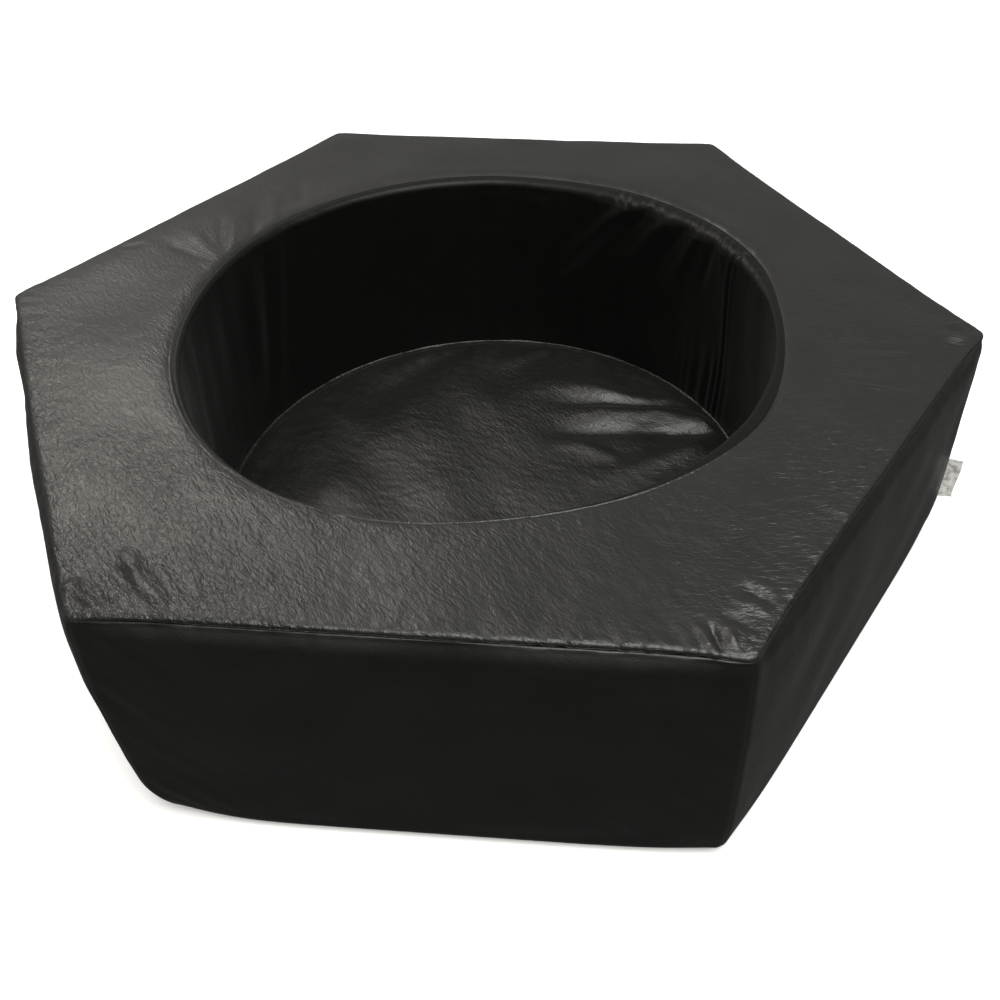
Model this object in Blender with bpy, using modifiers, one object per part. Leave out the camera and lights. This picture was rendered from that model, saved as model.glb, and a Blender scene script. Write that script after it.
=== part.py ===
"""Low mini trampoline set in a hexagonal padded surround.

A ring frame on rubber feet carries a sprung jump bed close to the ground. A foam base
with six foam blocks on it stands around them, inside one zipped vinyl cover: a hexagonal
top, six side bands, a lining down the round well, a disc over the bed and an open base.

Metres, +Z up. +X runs to the corner that carries the care label, and the zip is on +Y.
"""
import math

import bmesh
import bpy
from mathutils import Matrix, Vector

# Driving dimensions
CORNER_R = 0.750          # hexagon, axis to corner
HEIGHT = 0.385            # underside to top panel
WELL_R = 0.459            # inside of the well lining
BED_TOP = 0.040           # top of the vinyl over the jump mat
BOTTOM_ROUND = 0.028      # round under the side bands
GAP = 0.0003              # between pieces that touch

# Cover
VINYL = 0.002             # padded vinyl of the outer cover
LINING = 0.0014           # well lining and bed cover
RIM_ROLL = 0.012          # radius of the roll over the well's rim
SIDE_TURN_UNDER = 0.005   # how far the side bands run on under the block
LABEL_REACH = 0.026
LABEL_HEIGHT = 0.078
LABEL_THICK = 0.0008
LABEL_CENTRE_Z = 0.106
LABEL_HEM_R = 0.0007      # rolled edge that the flag swings on

# Trampoline
RING_R = 0.545            # axis to the middle of the frame tube
TUBE_R = 0.0127
SPRING_Z = 0.031          # height of the springs and of the frame tube's middle
RECESS_R = 0.575          # recess under the foam blocks that the frame stands in
RECESS_TOP = 0.0475
MAT_R = 0.4535
MAT_THICK = 0.003
MAT_TAB_REACH = 0.012
MAT_TAB_WIDTH = 0.024
SPRING_COUNT = 24
SPRING_R = 0.0045
SPRING_HOOK_R = 0.0012
SPRING_HOOK = 0.008
SPRING_END_GAP = 0.0010   # the tube is a chain of straight runs, so it comes in a little
FOOT_COUNT = 6
FOOT_R = 0.022
FOOT_TOP = 0.0285
FOOT_TOP_CHAMFER = 0.003
FOOT_BOTTOM_CHAMFER = 0.002
FOOT_TUBE_CLEARANCE = 0.0009
FRAME_ARCS = 3
TUBE_END_GAP = 0.0024     # square-cut tube ends, inside the sleeves
ARC_START_DEG = 30.0
SLEEVE_HALF = 0.030
SLEEVE_R = 0.0161
SLEEVE_BORE_R = 0.0146    # room for the bend of the tube inside

# Zip, along the +Y bottom round
ZIP_HALF = 0.330
ZIP_TAPE_THICK = 0.0010
ZIP_TAPE_HALF_DEG = 16.0
ZIP_MIDDLE_DEG = 42.0
ZIP_TEETH_WIDTH = 0.0050
ZIP_TEETH_HEIGHT = 0.0016
SLIDER_LENGTH = 0.014
SLIDER_WIDTH = 0.0085
SLIDER_WALL = 0.0010
PULL_LENGTH = 0.024
PULL_WIDTH = 0.0060
PULL_THICK = 0.0012
PULL_BARREL_R = 0.0009    # round end that the pull swings on
ZIP_EDGE = 0.0003         # chamfer on the teeth and the pull

SIDES = 6
SECTOR_DEG = 360.0 / SIDES
APOTHEM = CORNER_R * math.cos(math.radians(SECTOR_DEG / 2))
WELL_STEPS = 72
ROUND_STEPS = 5               # round under the side bands, and under the foam
ROLL_STEPS = 6                # roll over the well's rim
FLARE_STEPS = 3               # the foam's edge under that roll
ARC_TUBE_STEPS = 24           # straight runs in one frame arc
FITTING_STEPS = 20            # sleeves and feet
SPRING_STEPS = 10
TAPE_STEPS = 4
SMALL_ROUND_STEPS = 8         # hem and barrel
WELD = 0.00001
AXIS_X = -LABEL_REACH / 2     # centres the whole part, label included, on the origin
SKIN = VINYL + GAP            # the foam starts this far inside the cover
FAR = 2.0 * CORNER_R          # how far the sector cutters reach
CUTTER_PROUD = 0.05           # how far a cutter stands out of what it cuts

parts = bpy.data.collections.new("mini_trampoline")
cutters = bpy.data.collections.new("cutters")

COLOURS = {
    "cover_vinyl": ((0.030, 0.030, 0.028), 0.42, 0.0),
    "foam": ((0.62, 0.63, 0.58), 0.95, 0.0),
    "frame_steel": ((0.045, 0.045, 0.048), 0.38, 1.0),
    "sleeve_steel": ((0.45, 0.46, 0.47), 0.30, 1.0),
    "spring_steel": ((0.62, 0.63, 0.64), 0.28, 1.0),
    "foot_rubber": ((0.025, 0.025, 0.025), 0.80, 0.0),
    "jump_mat": ((0.018, 0.018, 0.020), 0.70, 0.0),
    "zip_tape": ((0.020, 0.020, 0.020), 0.80, 0.0),
    "zip_metal": ((0.10, 0.10, 0.10), 0.35, 1.0),
    "label_satin": ((0.55, 0.55, 0.55), 0.45, 0.0),
}


def clear_scene():
    for obj in list(bpy.data.objects):
        bpy.data.objects.remove(obj, do_unlink=True)
    for collection in (parts, cutters):
        bpy.context.scene.collection.children.link(collection)


def make_material(slot):
    material = bpy.data.materials.get(slot)
    if material:
        return material
    colour, roughness, metallic = COLOURS[slot]
    material = bpy.data.materials.new(slot)
    material.use_nodes = True
    shader = material.node_tree.nodes["Principled BSDF"]
    shader.inputs["Base Color"].default_value = (*colour, 1.0)
    shader.inputs["Roughness"].default_value = roughness
    shader.inputs["Metallic"].default_value = metallic
    return material


def add_empty(name, location, parent=None, angle_deg=0.0):
    empty = bpy.data.objects.new(name, None)
    empty.location = location
    empty.rotation_euler.z = math.radians(angle_deg)
    empty.parent = parent
    parts.objects.link(empty)
    return empty


def add_object(name, mesh, slot, parent, angle_deg=0.0, location=(0, 0, 0)):
    """A named sub-part, or a cutter where slot is None."""
    obj = bpy.data.objects.new(name, mesh)
    obj.location = location
    obj.rotation_euler.z = math.radians(angle_deg)
    obj.parent = parent
    if slot is None:
        obj.hide_render = True
        obj.display_type = "WIRE"
        cutters.objects.link(obj)
        return obj
    obj.data.materials.append(make_material(slot))
    parts.objects.link(obj)
    return obj


def cut(obj, tool, operation="DIFFERENCE"):
    modifier = obj.modifiers.new(tool.name, "BOOLEAN")
    modifier.operation = operation
    modifier.solver = "EXACT"
    modifier.object = tool


def chamfer_edges(obj, width):
    modifier = obj.modifiers.new("Bevel", "BEVEL")
    modifier.width = width
    modifier.segments = 1
    modifier.limit_method = "ANGLE"
    modifier.angle_limit = math.radians(40)


def thicken_inwards(obj, thickness):
    modifier = obj.modifiers.new("Solidify", "SOLIDIFY")
    modifier.thickness = thickness
    modifier.offset = -1.0
    modifier.use_even_offset = True


def smooth(obj):
    obj.data.shade_smooth()
    obj.data.set_sharp_from_angle(angle=math.radians(35))


def welded_mesh(curve, name):
    """The closed mesh of a curve object, whose own object is then removed."""
    bpy.context.scene.collection.objects.link(curve)
    bpy.context.view_layer.update()
    graph = bpy.context.evaluated_depsgraph_get()
    mesh = bpy.data.meshes.new_from_object(curve.evaluated_get(graph))
    mesh.name = name
    bm = bmesh.new()
    bm.from_mesh(mesh)
    bmesh.ops.remove_doubles(bm, verts=bm.verts, dist=WELD)
    bm.to_mesh(mesh)
    bm.free()
    bpy.data.objects.remove(curve)
    return mesh


def plate_mesh(name, outlines, low, high):
    """A flat plate between two heights, from an outline and any holes in it."""
    data = bpy.data.curves.new(name, "CURVE")
    data.dimensions = "2D"
    data.fill_mode = "BOTH"
    data.extrude = (high - low) / 2
    for outline in outlines:
        spline = data.splines.new("POLY")
        spline.points.add(len(outline) - 1)
        for point, (x, y) in zip(spline.points, outline):
            point.co = (x, y, 0, 1)
        spline.use_cyclic_u = True
    mesh = welded_mesh(bpy.data.objects.new(name, data), name)
    mesh.transform(Matrix.Translation((0, 0, (low + high) / 2)))
    return mesh


def tube_mesh(name, points, radius):
    """A round bar along points, with filled ends and twelve sides."""
    data = bpy.data.curves.new(name, "CURVE")
    data.dimensions = "3D"
    data.bevel_depth = radius
    data.bevel_resolution = 4
    data.use_fill_caps = True
    spline = data.splines.new("POLY")
    spline.points.add(len(points) - 1)
    for target, point in zip(spline.points, points):
        target.co = (*point, 1)
    return welded_mesh(bpy.data.objects.new(name, data), name)


def turned_object(name, profile, slot, parent, steps, closed):
    """A solid turned about Z. An open profile at +X runs down its outer side."""
    mesh = bpy.data.meshes.new(name)
    edges = [(i, i + 1) for i in range(len(profile) - 1)]
    if closed:
        edges.append((len(profile) - 1, 0))
    mesh.from_pydata([(r, 0, z) for r, z in profile], edges, [])
    obj = add_object(name, mesh, slot, parent)
    modifier = obj.modifiers.new("Screw", "SCREW")
    modifier.steps = steps
    modifier.render_steps = steps
    modifier.use_merge_vertices = True
    modifier.merge_threshold = 0.0001
    modifier.use_smooth_shade = True
    return obj


def circle(radius, steps):
    turn = 2 * math.pi / steps
    return [(radius * math.cos(i * turn), radius * math.sin(i * turn)) for i in range(steps)]


def hexagon(apothem):
    return circle(apothem / math.cos(math.radians(SECTOR_DEG / 2)), SIDES)


def arc(centre, radius, start_deg, end_deg, steps):
    """Points on an arc in a profile plane, both ends included."""
    points = []
    for i in range(steps + 1):
        angle = math.radians(start_deg + (end_deg - start_deg) * i / steps)
        x = centre[0] + radius * math.cos(angle)
        y = centre[1] + radius * math.sin(angle)
        points.append((x, y))
    return points


def sector_cutter(name, parent, angle_deg):
    """A wedge of one sixth, less half a gap on each side, about the direction angle_deg."""
    half = math.radians(SECTOR_DEG / 2)
    setback = (GAP / 2) / math.sin(half)
    reach = FAR * math.cos(half)
    width = (reach - setback) * math.tan(half)
    outline = [(setback, 0), (reach, -width), (reach, width)]
    mesh = plate_mesh(name, [outline], -CUTTER_PROUD, HEIGHT + CUTTER_PROUD)
    return add_object(name, mesh, None, parent, angle_deg)


def foam_blank(name, low, high):
    """A hexagonal foam prism inside the cover."""
    bm = bmesh.new()
    radius = (APOTHEM - SKIN) / math.cos(math.radians(SECTOR_DEG / 2))
    bmesh.ops.create_cone(bm, cap_ends=True, segments=SIDES, radius1=radius, radius2=radius,
                          depth=high - low)
    bm.verts.ensure_lookup_table()
    turn = math.atan2(bm.verts[0].co.y, bm.verts[0].co.x)
    bmesh.ops.rotate(bm, verts=bm.verts, matrix=Matrix.Rotation(-turn, 3, "Z"))
    bmesh.ops.translate(bm, verts=bm.verts, vec=(0, 0, (low + high) / 2))
    if low < BOTTOM_ROUND:
        bottom = [e for e in bm.edges if all(v.co.z < low + GAP for v in e.verts)]
        bmesh.ops.bevel(bm, geom=bottom, offset=BOTTOM_ROUND - SKIN, segments=ROUND_STEPS,
                        profile=0.5, affect="EDGES")
    mesh = bpy.data.meshes.new(name)
    bm.to_mesh(mesh)
    bm.free()
    return mesh


def bore_profile():
    """The well through the foam blocks, flared at the top for the lining's roll."""
    wall = WELL_R + LINING + GAP
    roll = RIM_ROLL - LINING - GAP
    flare = arc((wall + roll, HEIGHT - RIM_ROLL), roll, 90, 180, FLARE_STEPS)
    mouth = flare[0][0]
    above = HEIGHT + CUTTER_PROUD
    return [(0, above), (mouth, above)] + flare + [(wall, 0), (0, 0)]


def add_foam_blocks(centre):
    bore = turned_object("bore_cutter", bore_profile(), None, centre, WELL_STEPS, False)
    for i in range(SIDES):
        wedge = sector_cutter(f"foam_sector_{i + 1}", centre, SECTOR_DEG * (i + 0.5))
        name = f"foam_block_{i + 1}"
        mesh = foam_blank(name, RECESS_TOP, HEIGHT - SKIN)
        block = add_object(name, mesh, "foam", centre)
        cut(block, wedge, "INTERSECT")
        cut(block, bore)


def add_foam_base(centre):
    """The layer under the blocks, open in the middle for the frame."""
    mesh = foam_blank("foam_base", SKIN, RECESS_TOP - GAP)
    base = add_object("foam_base", mesh, "foam", centre)
    above = RECESS_TOP + CUTTER_PROUD
    below = -CUTTER_PROUD
    profile = [(0, above), (RECESS_R, above), (RECESS_R, below), (0, below)]
    cut(base, turned_object("recess_cutter", profile, None, centre, WELL_STEPS, False))


def rim_outer_r():
    """Where the lining's roll meets the top panel."""
    return WELL_R + RIM_ROLL


def add_top_panel(centre):
    low = HEIGHT - VINYL
    hole = circle(rim_outer_r() + GAP, WELL_STEPS)
    mesh = plate_mesh("top_panel", [hexagon(APOTHEM), hole], low, HEIGHT)
    add_object("top_panel", mesh, "cover_vinyl", centre)


def add_side_panels(centre):
    """Side bands, each turned under the block on a quarter round."""
    top = HEIGHT - VINYL - GAP
    turn_under = BOTTOM_ROUND + SIDE_TURN_UNDER
    middle = (APOTHEM - BOTTOM_ROUND, BOTTOM_ROUND)
    profile = [(APOTHEM, top)]
    profile += arc(middle, BOTTOM_ROUND, 0, -90, ROUND_STEPS)
    profile += [(APOTHEM - turn_under, 0.0)]
    half = CORNER_R
    for i in range(SIDES):
        angle = SECTOR_DEG * (i + 0.5)
        name = f"side_panel_{i + 1}"
        bm = bmesh.new()
        near = [bm.verts.new((x, -half, z)) for x, z in profile]
        run = [bm.edges.new(pair) for pair in zip(near, near[1:])]
        moved = bmesh.ops.extrude_edge_only(bm, edges=run)["geom"]
        far = [v for v in moved if isinstance(v, bmesh.types.BMVert)]
        bmesh.ops.translate(bm, verts=far, vec=(0, 2 * half, 0))
        bmesh.ops.recalc_face_normals(bm, faces=bm.faces)
        face = max(bm.faces, key=lambda f: f.calc_area())
        if face.normal.x < 0:
            bmesh.ops.reverse_faces(bm, faces=bm.faces)
        mesh = bpy.data.meshes.new(name)
        bm.to_mesh(mesh)
        bm.free()
        panel = add_object(name, mesh, "cover_vinyl", centre, angle)
        thicken_inwards(panel, VINYL)
        wedge = sector_cutter(f"side_sector_{i + 1}", centre, angle)
        cut(panel, wedge, "INTERSECT")


def add_well_lining(centre):
    """The lining stands on the bed cover and rolls out over the foam's rim."""
    roll_middle = (WELL_R + RIM_ROLL, HEIGHT - RIM_ROLL)
    against_foam = arc(roll_middle, RIM_ROLL - LINING, 90, 180, ROLL_STEPS)
    facing_well = arc(roll_middle, RIM_ROLL, 180, 90, ROLL_STEPS)
    foot = BED_TOP + GAP
    profile = against_foam + [(WELL_R + LINING, foot), (WELL_R, foot)] + facing_well
    turned_object("well_lining", profile, "cover_vinyl", centre, WELL_STEPS, True)


def add_base_panel(centre):
    apothem = APOTHEM - BOTTOM_ROUND - SIDE_TURN_UNDER - GAP
    hole = circle(RECESS_R + VINYL, WELL_STEPS)
    mesh = plate_mesh("base_panel", [hexagon(apothem), hole], 0.0, VINYL)
    add_object("base_panel", mesh, "cover_vinyl", centre)


def mat_outline():
    """A circle with one square webbing tab for each spring."""
    points = []
    step = 360.0 / SPRING_COUNT
    half_tab = math.degrees(MAT_TAB_WIDTH / 2 / MAT_R)
    reach = MAT_R + MAT_TAB_REACH
    for i in range(SPRING_COUNT):
        middle = step * (i + 0.5)
        tab = [(MAT_R, -half_tab), (reach, -half_tab), (reach, half_tab), (MAT_R, half_tab)]
        for radius, offset in [(MAT_R, -step / 2)] + tab:
            angle = math.radians(middle + offset)
            points.append((radius * math.cos(angle), radius * math.sin(angle)))
    return points


def add_bed(bed):
    """The jump mat and the vinyl disc over it, which move down together."""
    cover_low = BED_TOP - LINING
    cover = plate_mesh("well_floor", [circle(WELL_R + LINING, WELL_STEPS)], cover_low, BED_TOP)
    add_object("well_floor", cover, "cover_vinyl", bed)
    mat_top = cover_low - GAP
    mat = plate_mesh("jump_mat", [mat_outline()], mat_top - MAT_THICK, mat_top)
    add_object("jump_mat", mat, "jump_mat", bed)


def add_springs(centre):
    """Coil springs drawn as their outer shape, with a thin hook at each end."""
    inner = MAT_R + MAT_TAB_REACH + GAP
    outer = RING_R - TUBE_R - SPRING_END_GAP
    body_in = inner + SPRING_HOOK
    body_out = outer - SPRING_HOOK
    profile = [(0, outer), (SPRING_HOOK_R, outer), (SPRING_HOOK_R, body_out)]
    profile += [(SPRING_R, body_out), (SPRING_R, body_in)]
    profile += [(SPRING_HOOK_R, body_in), (SPRING_HOOK_R, inner), (0, inner)]
    step = 360.0 / SPRING_COUNT
    for i in range(SPRING_COUNT):
        angle = step * (i + 0.5)
        name = f"spring_{i + 1:02d}"
        spring = turned_object(name, profile, "spring_steel", centre, SPRING_STEPS, False)
        spring.rotation_euler = (0, math.radians(90), math.radians(angle))
        spring.location.z = SPRING_Z


def ring_point(angle_deg):
    angle = math.radians(angle_deg)
    return Vector((RING_R * math.cos(angle), RING_R * math.sin(angle), SPRING_Z))


def add_frame(centre):
    """Three bent tubes, joined end to end in sleeves."""
    span = 360.0 / FRAME_ARCS
    trim = math.degrees(TUBE_END_GAP / 2 / RING_R)
    steps = ARC_TUBE_STEPS
    for i in range(FRAME_ARCS):
        start = ARC_START_DEG + span * i
        run = span - 2 * trim
        points = [ring_point(start + trim + run * k / steps) for k in range(steps + 1)]
        name = f"frame_arc_{i + 1}"
        tube = add_object(name, tube_mesh(name, points, TUBE_R), "frame_steel", centre)
        smooth(tube)
        add_sleeve(centre, i + 1, start)


def add_sleeve(centre, number, angle_deg):
    """A short straight tube over the joint between two arcs."""
    wall = [(SLEEVE_R, SLEEVE_HALF), (SLEEVE_R, -SLEEVE_HALF)]
    bore = [(SLEEVE_BORE_R, -SLEEVE_HALF), (SLEEVE_BORE_R, SLEEVE_HALF)]
    name = f"frame_sleeve_{number}"
    sleeve = turned_object(name, wall + bore, "sleeve_steel", centre, FITTING_STEPS, True)
    sleeve.location = ring_point(angle_deg)
    sleeve.rotation_euler = (math.radians(90), 0, math.radians(angle_deg))


def add_feet(centre):
    """Rubber blocks whose tops cradle the frame tube."""
    profile = [(0, FOOT_TOP), (FOOT_R - FOOT_TOP_CHAMFER, FOOT_TOP)]
    profile += [(FOOT_R, FOOT_TOP - FOOT_TOP_CHAMFER), (FOOT_R, FOOT_BOTTOM_CHAMFER)]
    profile += [(FOOT_R - FOOT_BOTTOM_CHAMFER, 0.0), (0, 0.0)]
    line = [(0, -2 * FOOT_R, SPRING_Z), (0, 2 * FOOT_R, SPRING_Z)]
    for i in range(FOOT_COUNT):
        angle = 360.0 / FOOT_COUNT * i
        place = ring_point(angle)
        name = f"rubber_foot_{i + 1}"
        foot = turned_object(name, profile, "foot_rubber", centre, FITTING_STEPS, False)
        foot.location = (place.x, place.y, 0)
        foot.rotation_euler.z = math.radians(angle)
        mesh = tube_mesh(f"cradle_{i + 1}", line, TUBE_R + FOOT_TUBE_CLEARANCE)
        cradle = add_object(f"cradle_{i + 1}", mesh, None, centre, angle)
        cradle.location = (place.x, place.y, 0)
        cut(foot, cradle)


def zip_frame(centre):
    """An empty on the +Y bottom round: its Z points out of the cover, its X along the zip."""
    middle_y = APOTHEM - BOTTOM_ROUND
    angle = math.radians(ZIP_MIDDLE_DEG)
    out = Vector((0, math.cos(angle), -math.sin(angle)))
    empty = add_empty("zip_frame", (0, middle_y, BOTTOM_ROUND), centre)
    along = Vector((1, 0, 0))
    across = out.cross(along)
    turn = Matrix((along, across, out)).transposed()
    empty.rotation_euler = turn.to_euler()
    return empty


def round_ended_strip(length, thickness, radius):
    """The outline of a flat strip along +X from a round end, whose middle is the origin."""
    neck = math.degrees(math.asin(thickness / 2 / radius))
    round_end = arc((0, 0), radius, neck, 360 - neck, SMALL_ROUND_STEPS)
    return round_end + [(length, -thickness / 2), (length, thickness / 2)]


def bar_mesh(name, outline, half_length):
    """A bar along X with a constant outline in its local YZ plane."""
    mesh = plate_mesh(name, [outline], -half_length, half_length)
    axes = Matrix(((0, 0, 1, 0), (1, 0, 0, 0), (0, 1, 0, 0), (0, 0, 0, 1)))
    mesh.transform(axes)
    return mesh


def add_zip(centre):
    """Tape and teeth across the round, a slider on the teeth, and its pull."""
    frame = zip_frame(centre)
    tape_in = BOTTOM_ROUND + GAP
    tape_out = tape_in + ZIP_TAPE_THICK
    half = ZIP_TAPE_HALF_DEG
    outline = arc((0, 0), tape_out, 90 + half, 90 - half, TAPE_STEPS)
    outline += arc((0, 0), tape_in, 90 - half, 90 + half, TAPE_STEPS)
    add_object("zip_tape", bar_mesh("zip_tape", outline, ZIP_HALF), "zip_tape", frame)

    teeth_low = tape_out + GAP
    teeth_high = teeth_low + ZIP_TEETH_HEIGHT
    w = ZIP_TEETH_WIDTH / 2
    outline = [(-w, teeth_low), (w, teeth_low), (w, teeth_high), (-w, teeth_high)]
    teeth = add_object("zip_teeth", bar_mesh("zip_teeth", outline, ZIP_HALF), "zip_metal", frame)
    chamfer_edges(teeth, ZIP_EDGE)

    start_x = -ZIP_HALF + SLIDER_LENGTH
    slider_empty = add_empty("slider_frame", (start_x, 0, 0), frame)
    roof_low = teeth_high + GAP
    roof_high = roof_low + SLIDER_WALL
    s = SLIDER_WIDTH / 2
    inner = s - SLIDER_WALL
    wall_low = teeth_low + GAP
    outline = [(-s, wall_low), (-inner, wall_low), (-inner, roof_low), (inner, roof_low)]
    outline += [(inner, wall_low), (s, wall_low), (s, roof_high), (-s, roof_high)]
    mesh = bar_mesh("zip_slider", outline, SLIDER_LENGTH / 2)
    add_object("zip_slider", mesh, "zip_metal", slider_empty)

    pull_z = roof_high + GAP + PULL_BARREL_R
    pull_empty = add_empty("pull_frame", (0, 0, pull_z), slider_empty)
    outline = round_ended_strip(PULL_LENGTH, PULL_THICK, PULL_BARREL_R)
    mesh = plate_mesh("zip_pull", [outline], -PULL_WIDTH / 2, PULL_WIDTH / 2)
    mesh.transform(Matrix.Rotation(math.radians(90), 4, "X"))
    pull = add_object("zip_pull", mesh, "zip_metal", pull_empty)
    chamfer_edges(pull, ZIP_EDGE)


def add_label(centre):
    """A folded satin flag sewn into the +X corner. It swings on its rolled edge."""
    start = CORNER_R + GAP + LABEL_HEM_R
    pivot = add_empty("label_frame", (start, 0, LABEL_CENTRE_Z), centre)
    length = CORNER_R + LABEL_REACH - start
    outline = round_ended_strip(length, LABEL_THICK, LABEL_HEM_R)
    mesh = plate_mesh("care_label", [outline], -LABEL_HEIGHT / 2, LABEL_HEIGHT / 2)
    add_object("care_label", mesh, "label_satin", pivot)


def main():
    clear_scene()
    centre = add_empty("surround_axis", (AXIS_X, 0, 0))
    bed = add_empty("bed_axis", (0, 0, 0), centre)
    add_foam_base(centre)
    add_foam_blocks(centre)
    add_top_panel(centre)
    add_side_panels(centre)
    add_well_lining(centre)
    add_base_panel(centre)
    add_bed(bed)
    add_frame(centre)
    add_feet(centre)
    add_springs(centre)
    add_zip(centre)
    add_label(centre)


main()
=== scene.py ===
"""Looks of the mini trampoline: a black vinyl cover over a hexagonal foam surround.

Metres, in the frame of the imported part. Every place is worked out from the frame's boxes. Angles
go round the well's axis, counterclockwise from +X, and a corner stands at each multiple of 60.
"""
import math

import bpy
import numpy as np
from mathutils import Matrix, Vector


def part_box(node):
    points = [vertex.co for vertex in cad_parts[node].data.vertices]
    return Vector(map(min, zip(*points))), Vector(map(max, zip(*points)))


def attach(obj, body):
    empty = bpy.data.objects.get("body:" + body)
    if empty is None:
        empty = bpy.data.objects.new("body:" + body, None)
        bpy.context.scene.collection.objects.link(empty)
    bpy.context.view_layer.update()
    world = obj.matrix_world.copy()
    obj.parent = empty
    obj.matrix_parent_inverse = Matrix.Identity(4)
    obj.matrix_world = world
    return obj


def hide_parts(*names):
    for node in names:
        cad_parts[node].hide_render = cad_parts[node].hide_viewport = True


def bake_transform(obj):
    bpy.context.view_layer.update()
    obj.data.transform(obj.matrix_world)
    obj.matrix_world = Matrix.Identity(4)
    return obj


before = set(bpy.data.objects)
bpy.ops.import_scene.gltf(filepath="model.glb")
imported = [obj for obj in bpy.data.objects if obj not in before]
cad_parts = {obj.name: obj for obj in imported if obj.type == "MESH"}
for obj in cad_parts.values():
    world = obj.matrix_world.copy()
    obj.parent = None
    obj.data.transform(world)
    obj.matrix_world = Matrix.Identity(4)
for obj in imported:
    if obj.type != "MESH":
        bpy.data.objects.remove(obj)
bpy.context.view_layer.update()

# ---- sizes, read from the frame
TOP_LOW, TOP_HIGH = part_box("top_panel")
LINING_LOW, LINING_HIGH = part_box("well_lining")
CENTRE = np.array([(TOP_LOW.x + TOP_HIGH.x) / 2, 0.0, 0.0])
HEIGHT = TOP_HIGH.z
CORNER_R = (TOP_HIGH.x - TOP_LOW.x) / 2
APOTHEM = (TOP_HIGH.y - TOP_LOW.y) / 2
BED_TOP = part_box("well_floor")[1].z
SIDE_ANGLE = math.radians(60)  # from one corner to the next
HALF_SIDE = math.radians(30)

# The well's rim and wall
CAD_ROLL = 0.012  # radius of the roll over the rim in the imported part
ROLL = 0.007  # the same where the foam's edge is sharp
BACK_ROLL = 0.006  # how much softer it is at the back
GATHERED_ROLL = 0.008  # and where the vinyl is gathered, on top of that
WELL_R = (LINING_HIGH.x - LINING_LOW.x) / 2 - CAD_ROLL
FOOT_IN = 0.01  # how far the lining leans in at its foot
FLOOR_SEAM_R = WELL_R - FOOT_IN - 0.002

# The outer edge
CORNER_ROUND = 0.018  # rounding of the corners in plan
EDGE_ROLL = 0.0032  # rounding of the top panel's edge
TOP_INSET = 0.0085  # how far inside the outline the top panel ends
CORNER_INSET = 0.0022  # the same at the corners
EDGE_BAND = 0.008  # depth of the strip that follows the outline
BOTTOM_ROUND = 0.028  # round under the back, where the zip runs
TIGHT_ROUND = 0.02  # and under the other sides
TURN_UNDER = 0.006
EDGE_TURN = math.radians(112)  # how far the top panel turns down over its edge
TUCKED_IN = 0.0035  # how far it goes on, into the seam
SEAM_Z = HEIGHT - EDGE_ROLL * (1 - math.cos(EDGE_TURN)) - 0.001
RIDGE = 0.0035  # width of the side band's ridge along the seam
RIDGE_IN = 0.003  # how far inside the band the ridge starts
SHOULDER_MORE = 0.002  # the side band starts this far inside the top panel's edge
SHOULDER_DEPTH = 0.026
SIDE_LENGTH = RIDGE + (SEAM_Z - BOTTOM_ROUND) + BOTTOM_ROUND * math.pi / 2 + TURN_UNDER

# Grids
SIDES = 6
SIDE_COLUMNS = 216
COLUMNS = SIDES * SIDE_COLUMNS
SIM_SIDE_COLUMNS = 60
WELL_COLUMNS = 900

rng = np.random.default_rng(7)


# ---- small maths
def ease(x):
    """0 below 0 and 1 above 1, with a smooth rise between."""
    x = np.clip(x, 0.0, 1.0)
    return x * x * (3 - 2 * x)


def window(x, low, high, soft):
    """1 between low and high, falling to 0 over soft on each side."""
    return ease((x - low + soft) / soft) * ease((high + soft - x) / soft)


def angle_from(theta, middle_deg):
    """Signed angle in radians from a direction, within half a turn."""
    d = theta - math.radians(middle_deg)
    return (d + math.pi) % (2 * math.pi) - math.pi


def bump(x, width):
    return np.exp(-((x / width) ** 2))


class Waves:
    """Smooth seeded noise along one or more coordinates, about -1 to 1."""

    def __init__(self, dims, wavelength, count=24, spread=0.45):
        lengths = wavelength * np.exp(rng.uniform(-spread, spread, count))
        directions = rng.normal(size=(count, dims))
        directions /= np.linalg.norm(directions, axis=1)[:, None]
        self.k = directions * (2 * math.pi / lengths)[:, None]
        self.phase = rng.uniform(0, 2 * math.pi, count)
        self.scale = 1.0 / math.sqrt(count / 2)

    def __call__(self, *coords):
        total = 0.0
        for k, phase in zip(self.k, self.phase):
            argument = phase
            for c, kc in zip(coords, k):
                argument = argument + c * kc
            total = total + np.sin(argument)
        return total * self.scale * 0.6


# Wavelengths of each unevenness. The order of these lines decides the random draws.
PUCKER_FINE = Waves(2, 0.017)
PUCKER_BROAD = Waves(2, 0.052)
RIM_PUCKER = Waves(2, 0.042)
RIM_FINE = Waves(2, 0.011)
FOAM_WAVES = Waves(2, 0.24)
CRINKLE = Waves(2, 0.022, 40)
SIDE_WAVES = Waves(2, 0.2)
SIDE_RIPPLE = Waves(2, 0.05)
LINING_WAVES = Waves(2, 0.1)
LINING_RIPPLE = Waves(2, 0.03)
FLOOR_WAVES = Waves(2, 0.16)
FLOOR_CRINKLE = Waves(2, 0.026, 40)
FLOOR_EDGE = Waves(2, 0.04)


# ---- outline of the hexagon
def warped_columns(per_side, squeeze=0.45):
    """Column angles, packed closer together near the corners."""
    u = np.arange(SIDES * per_side) / per_side
    f = u - np.floor(u)
    f = f - squeeze * np.sin(2 * math.pi * f) / (2 * math.pi)
    return (np.floor(u) + f) * SIDE_ANGLE


def corner_angle(theta):
    """Signed angle from the nearest corner."""
    return (theta + HALF_SIDE) % SIDE_ANGLE - HALF_SIDE


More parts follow.
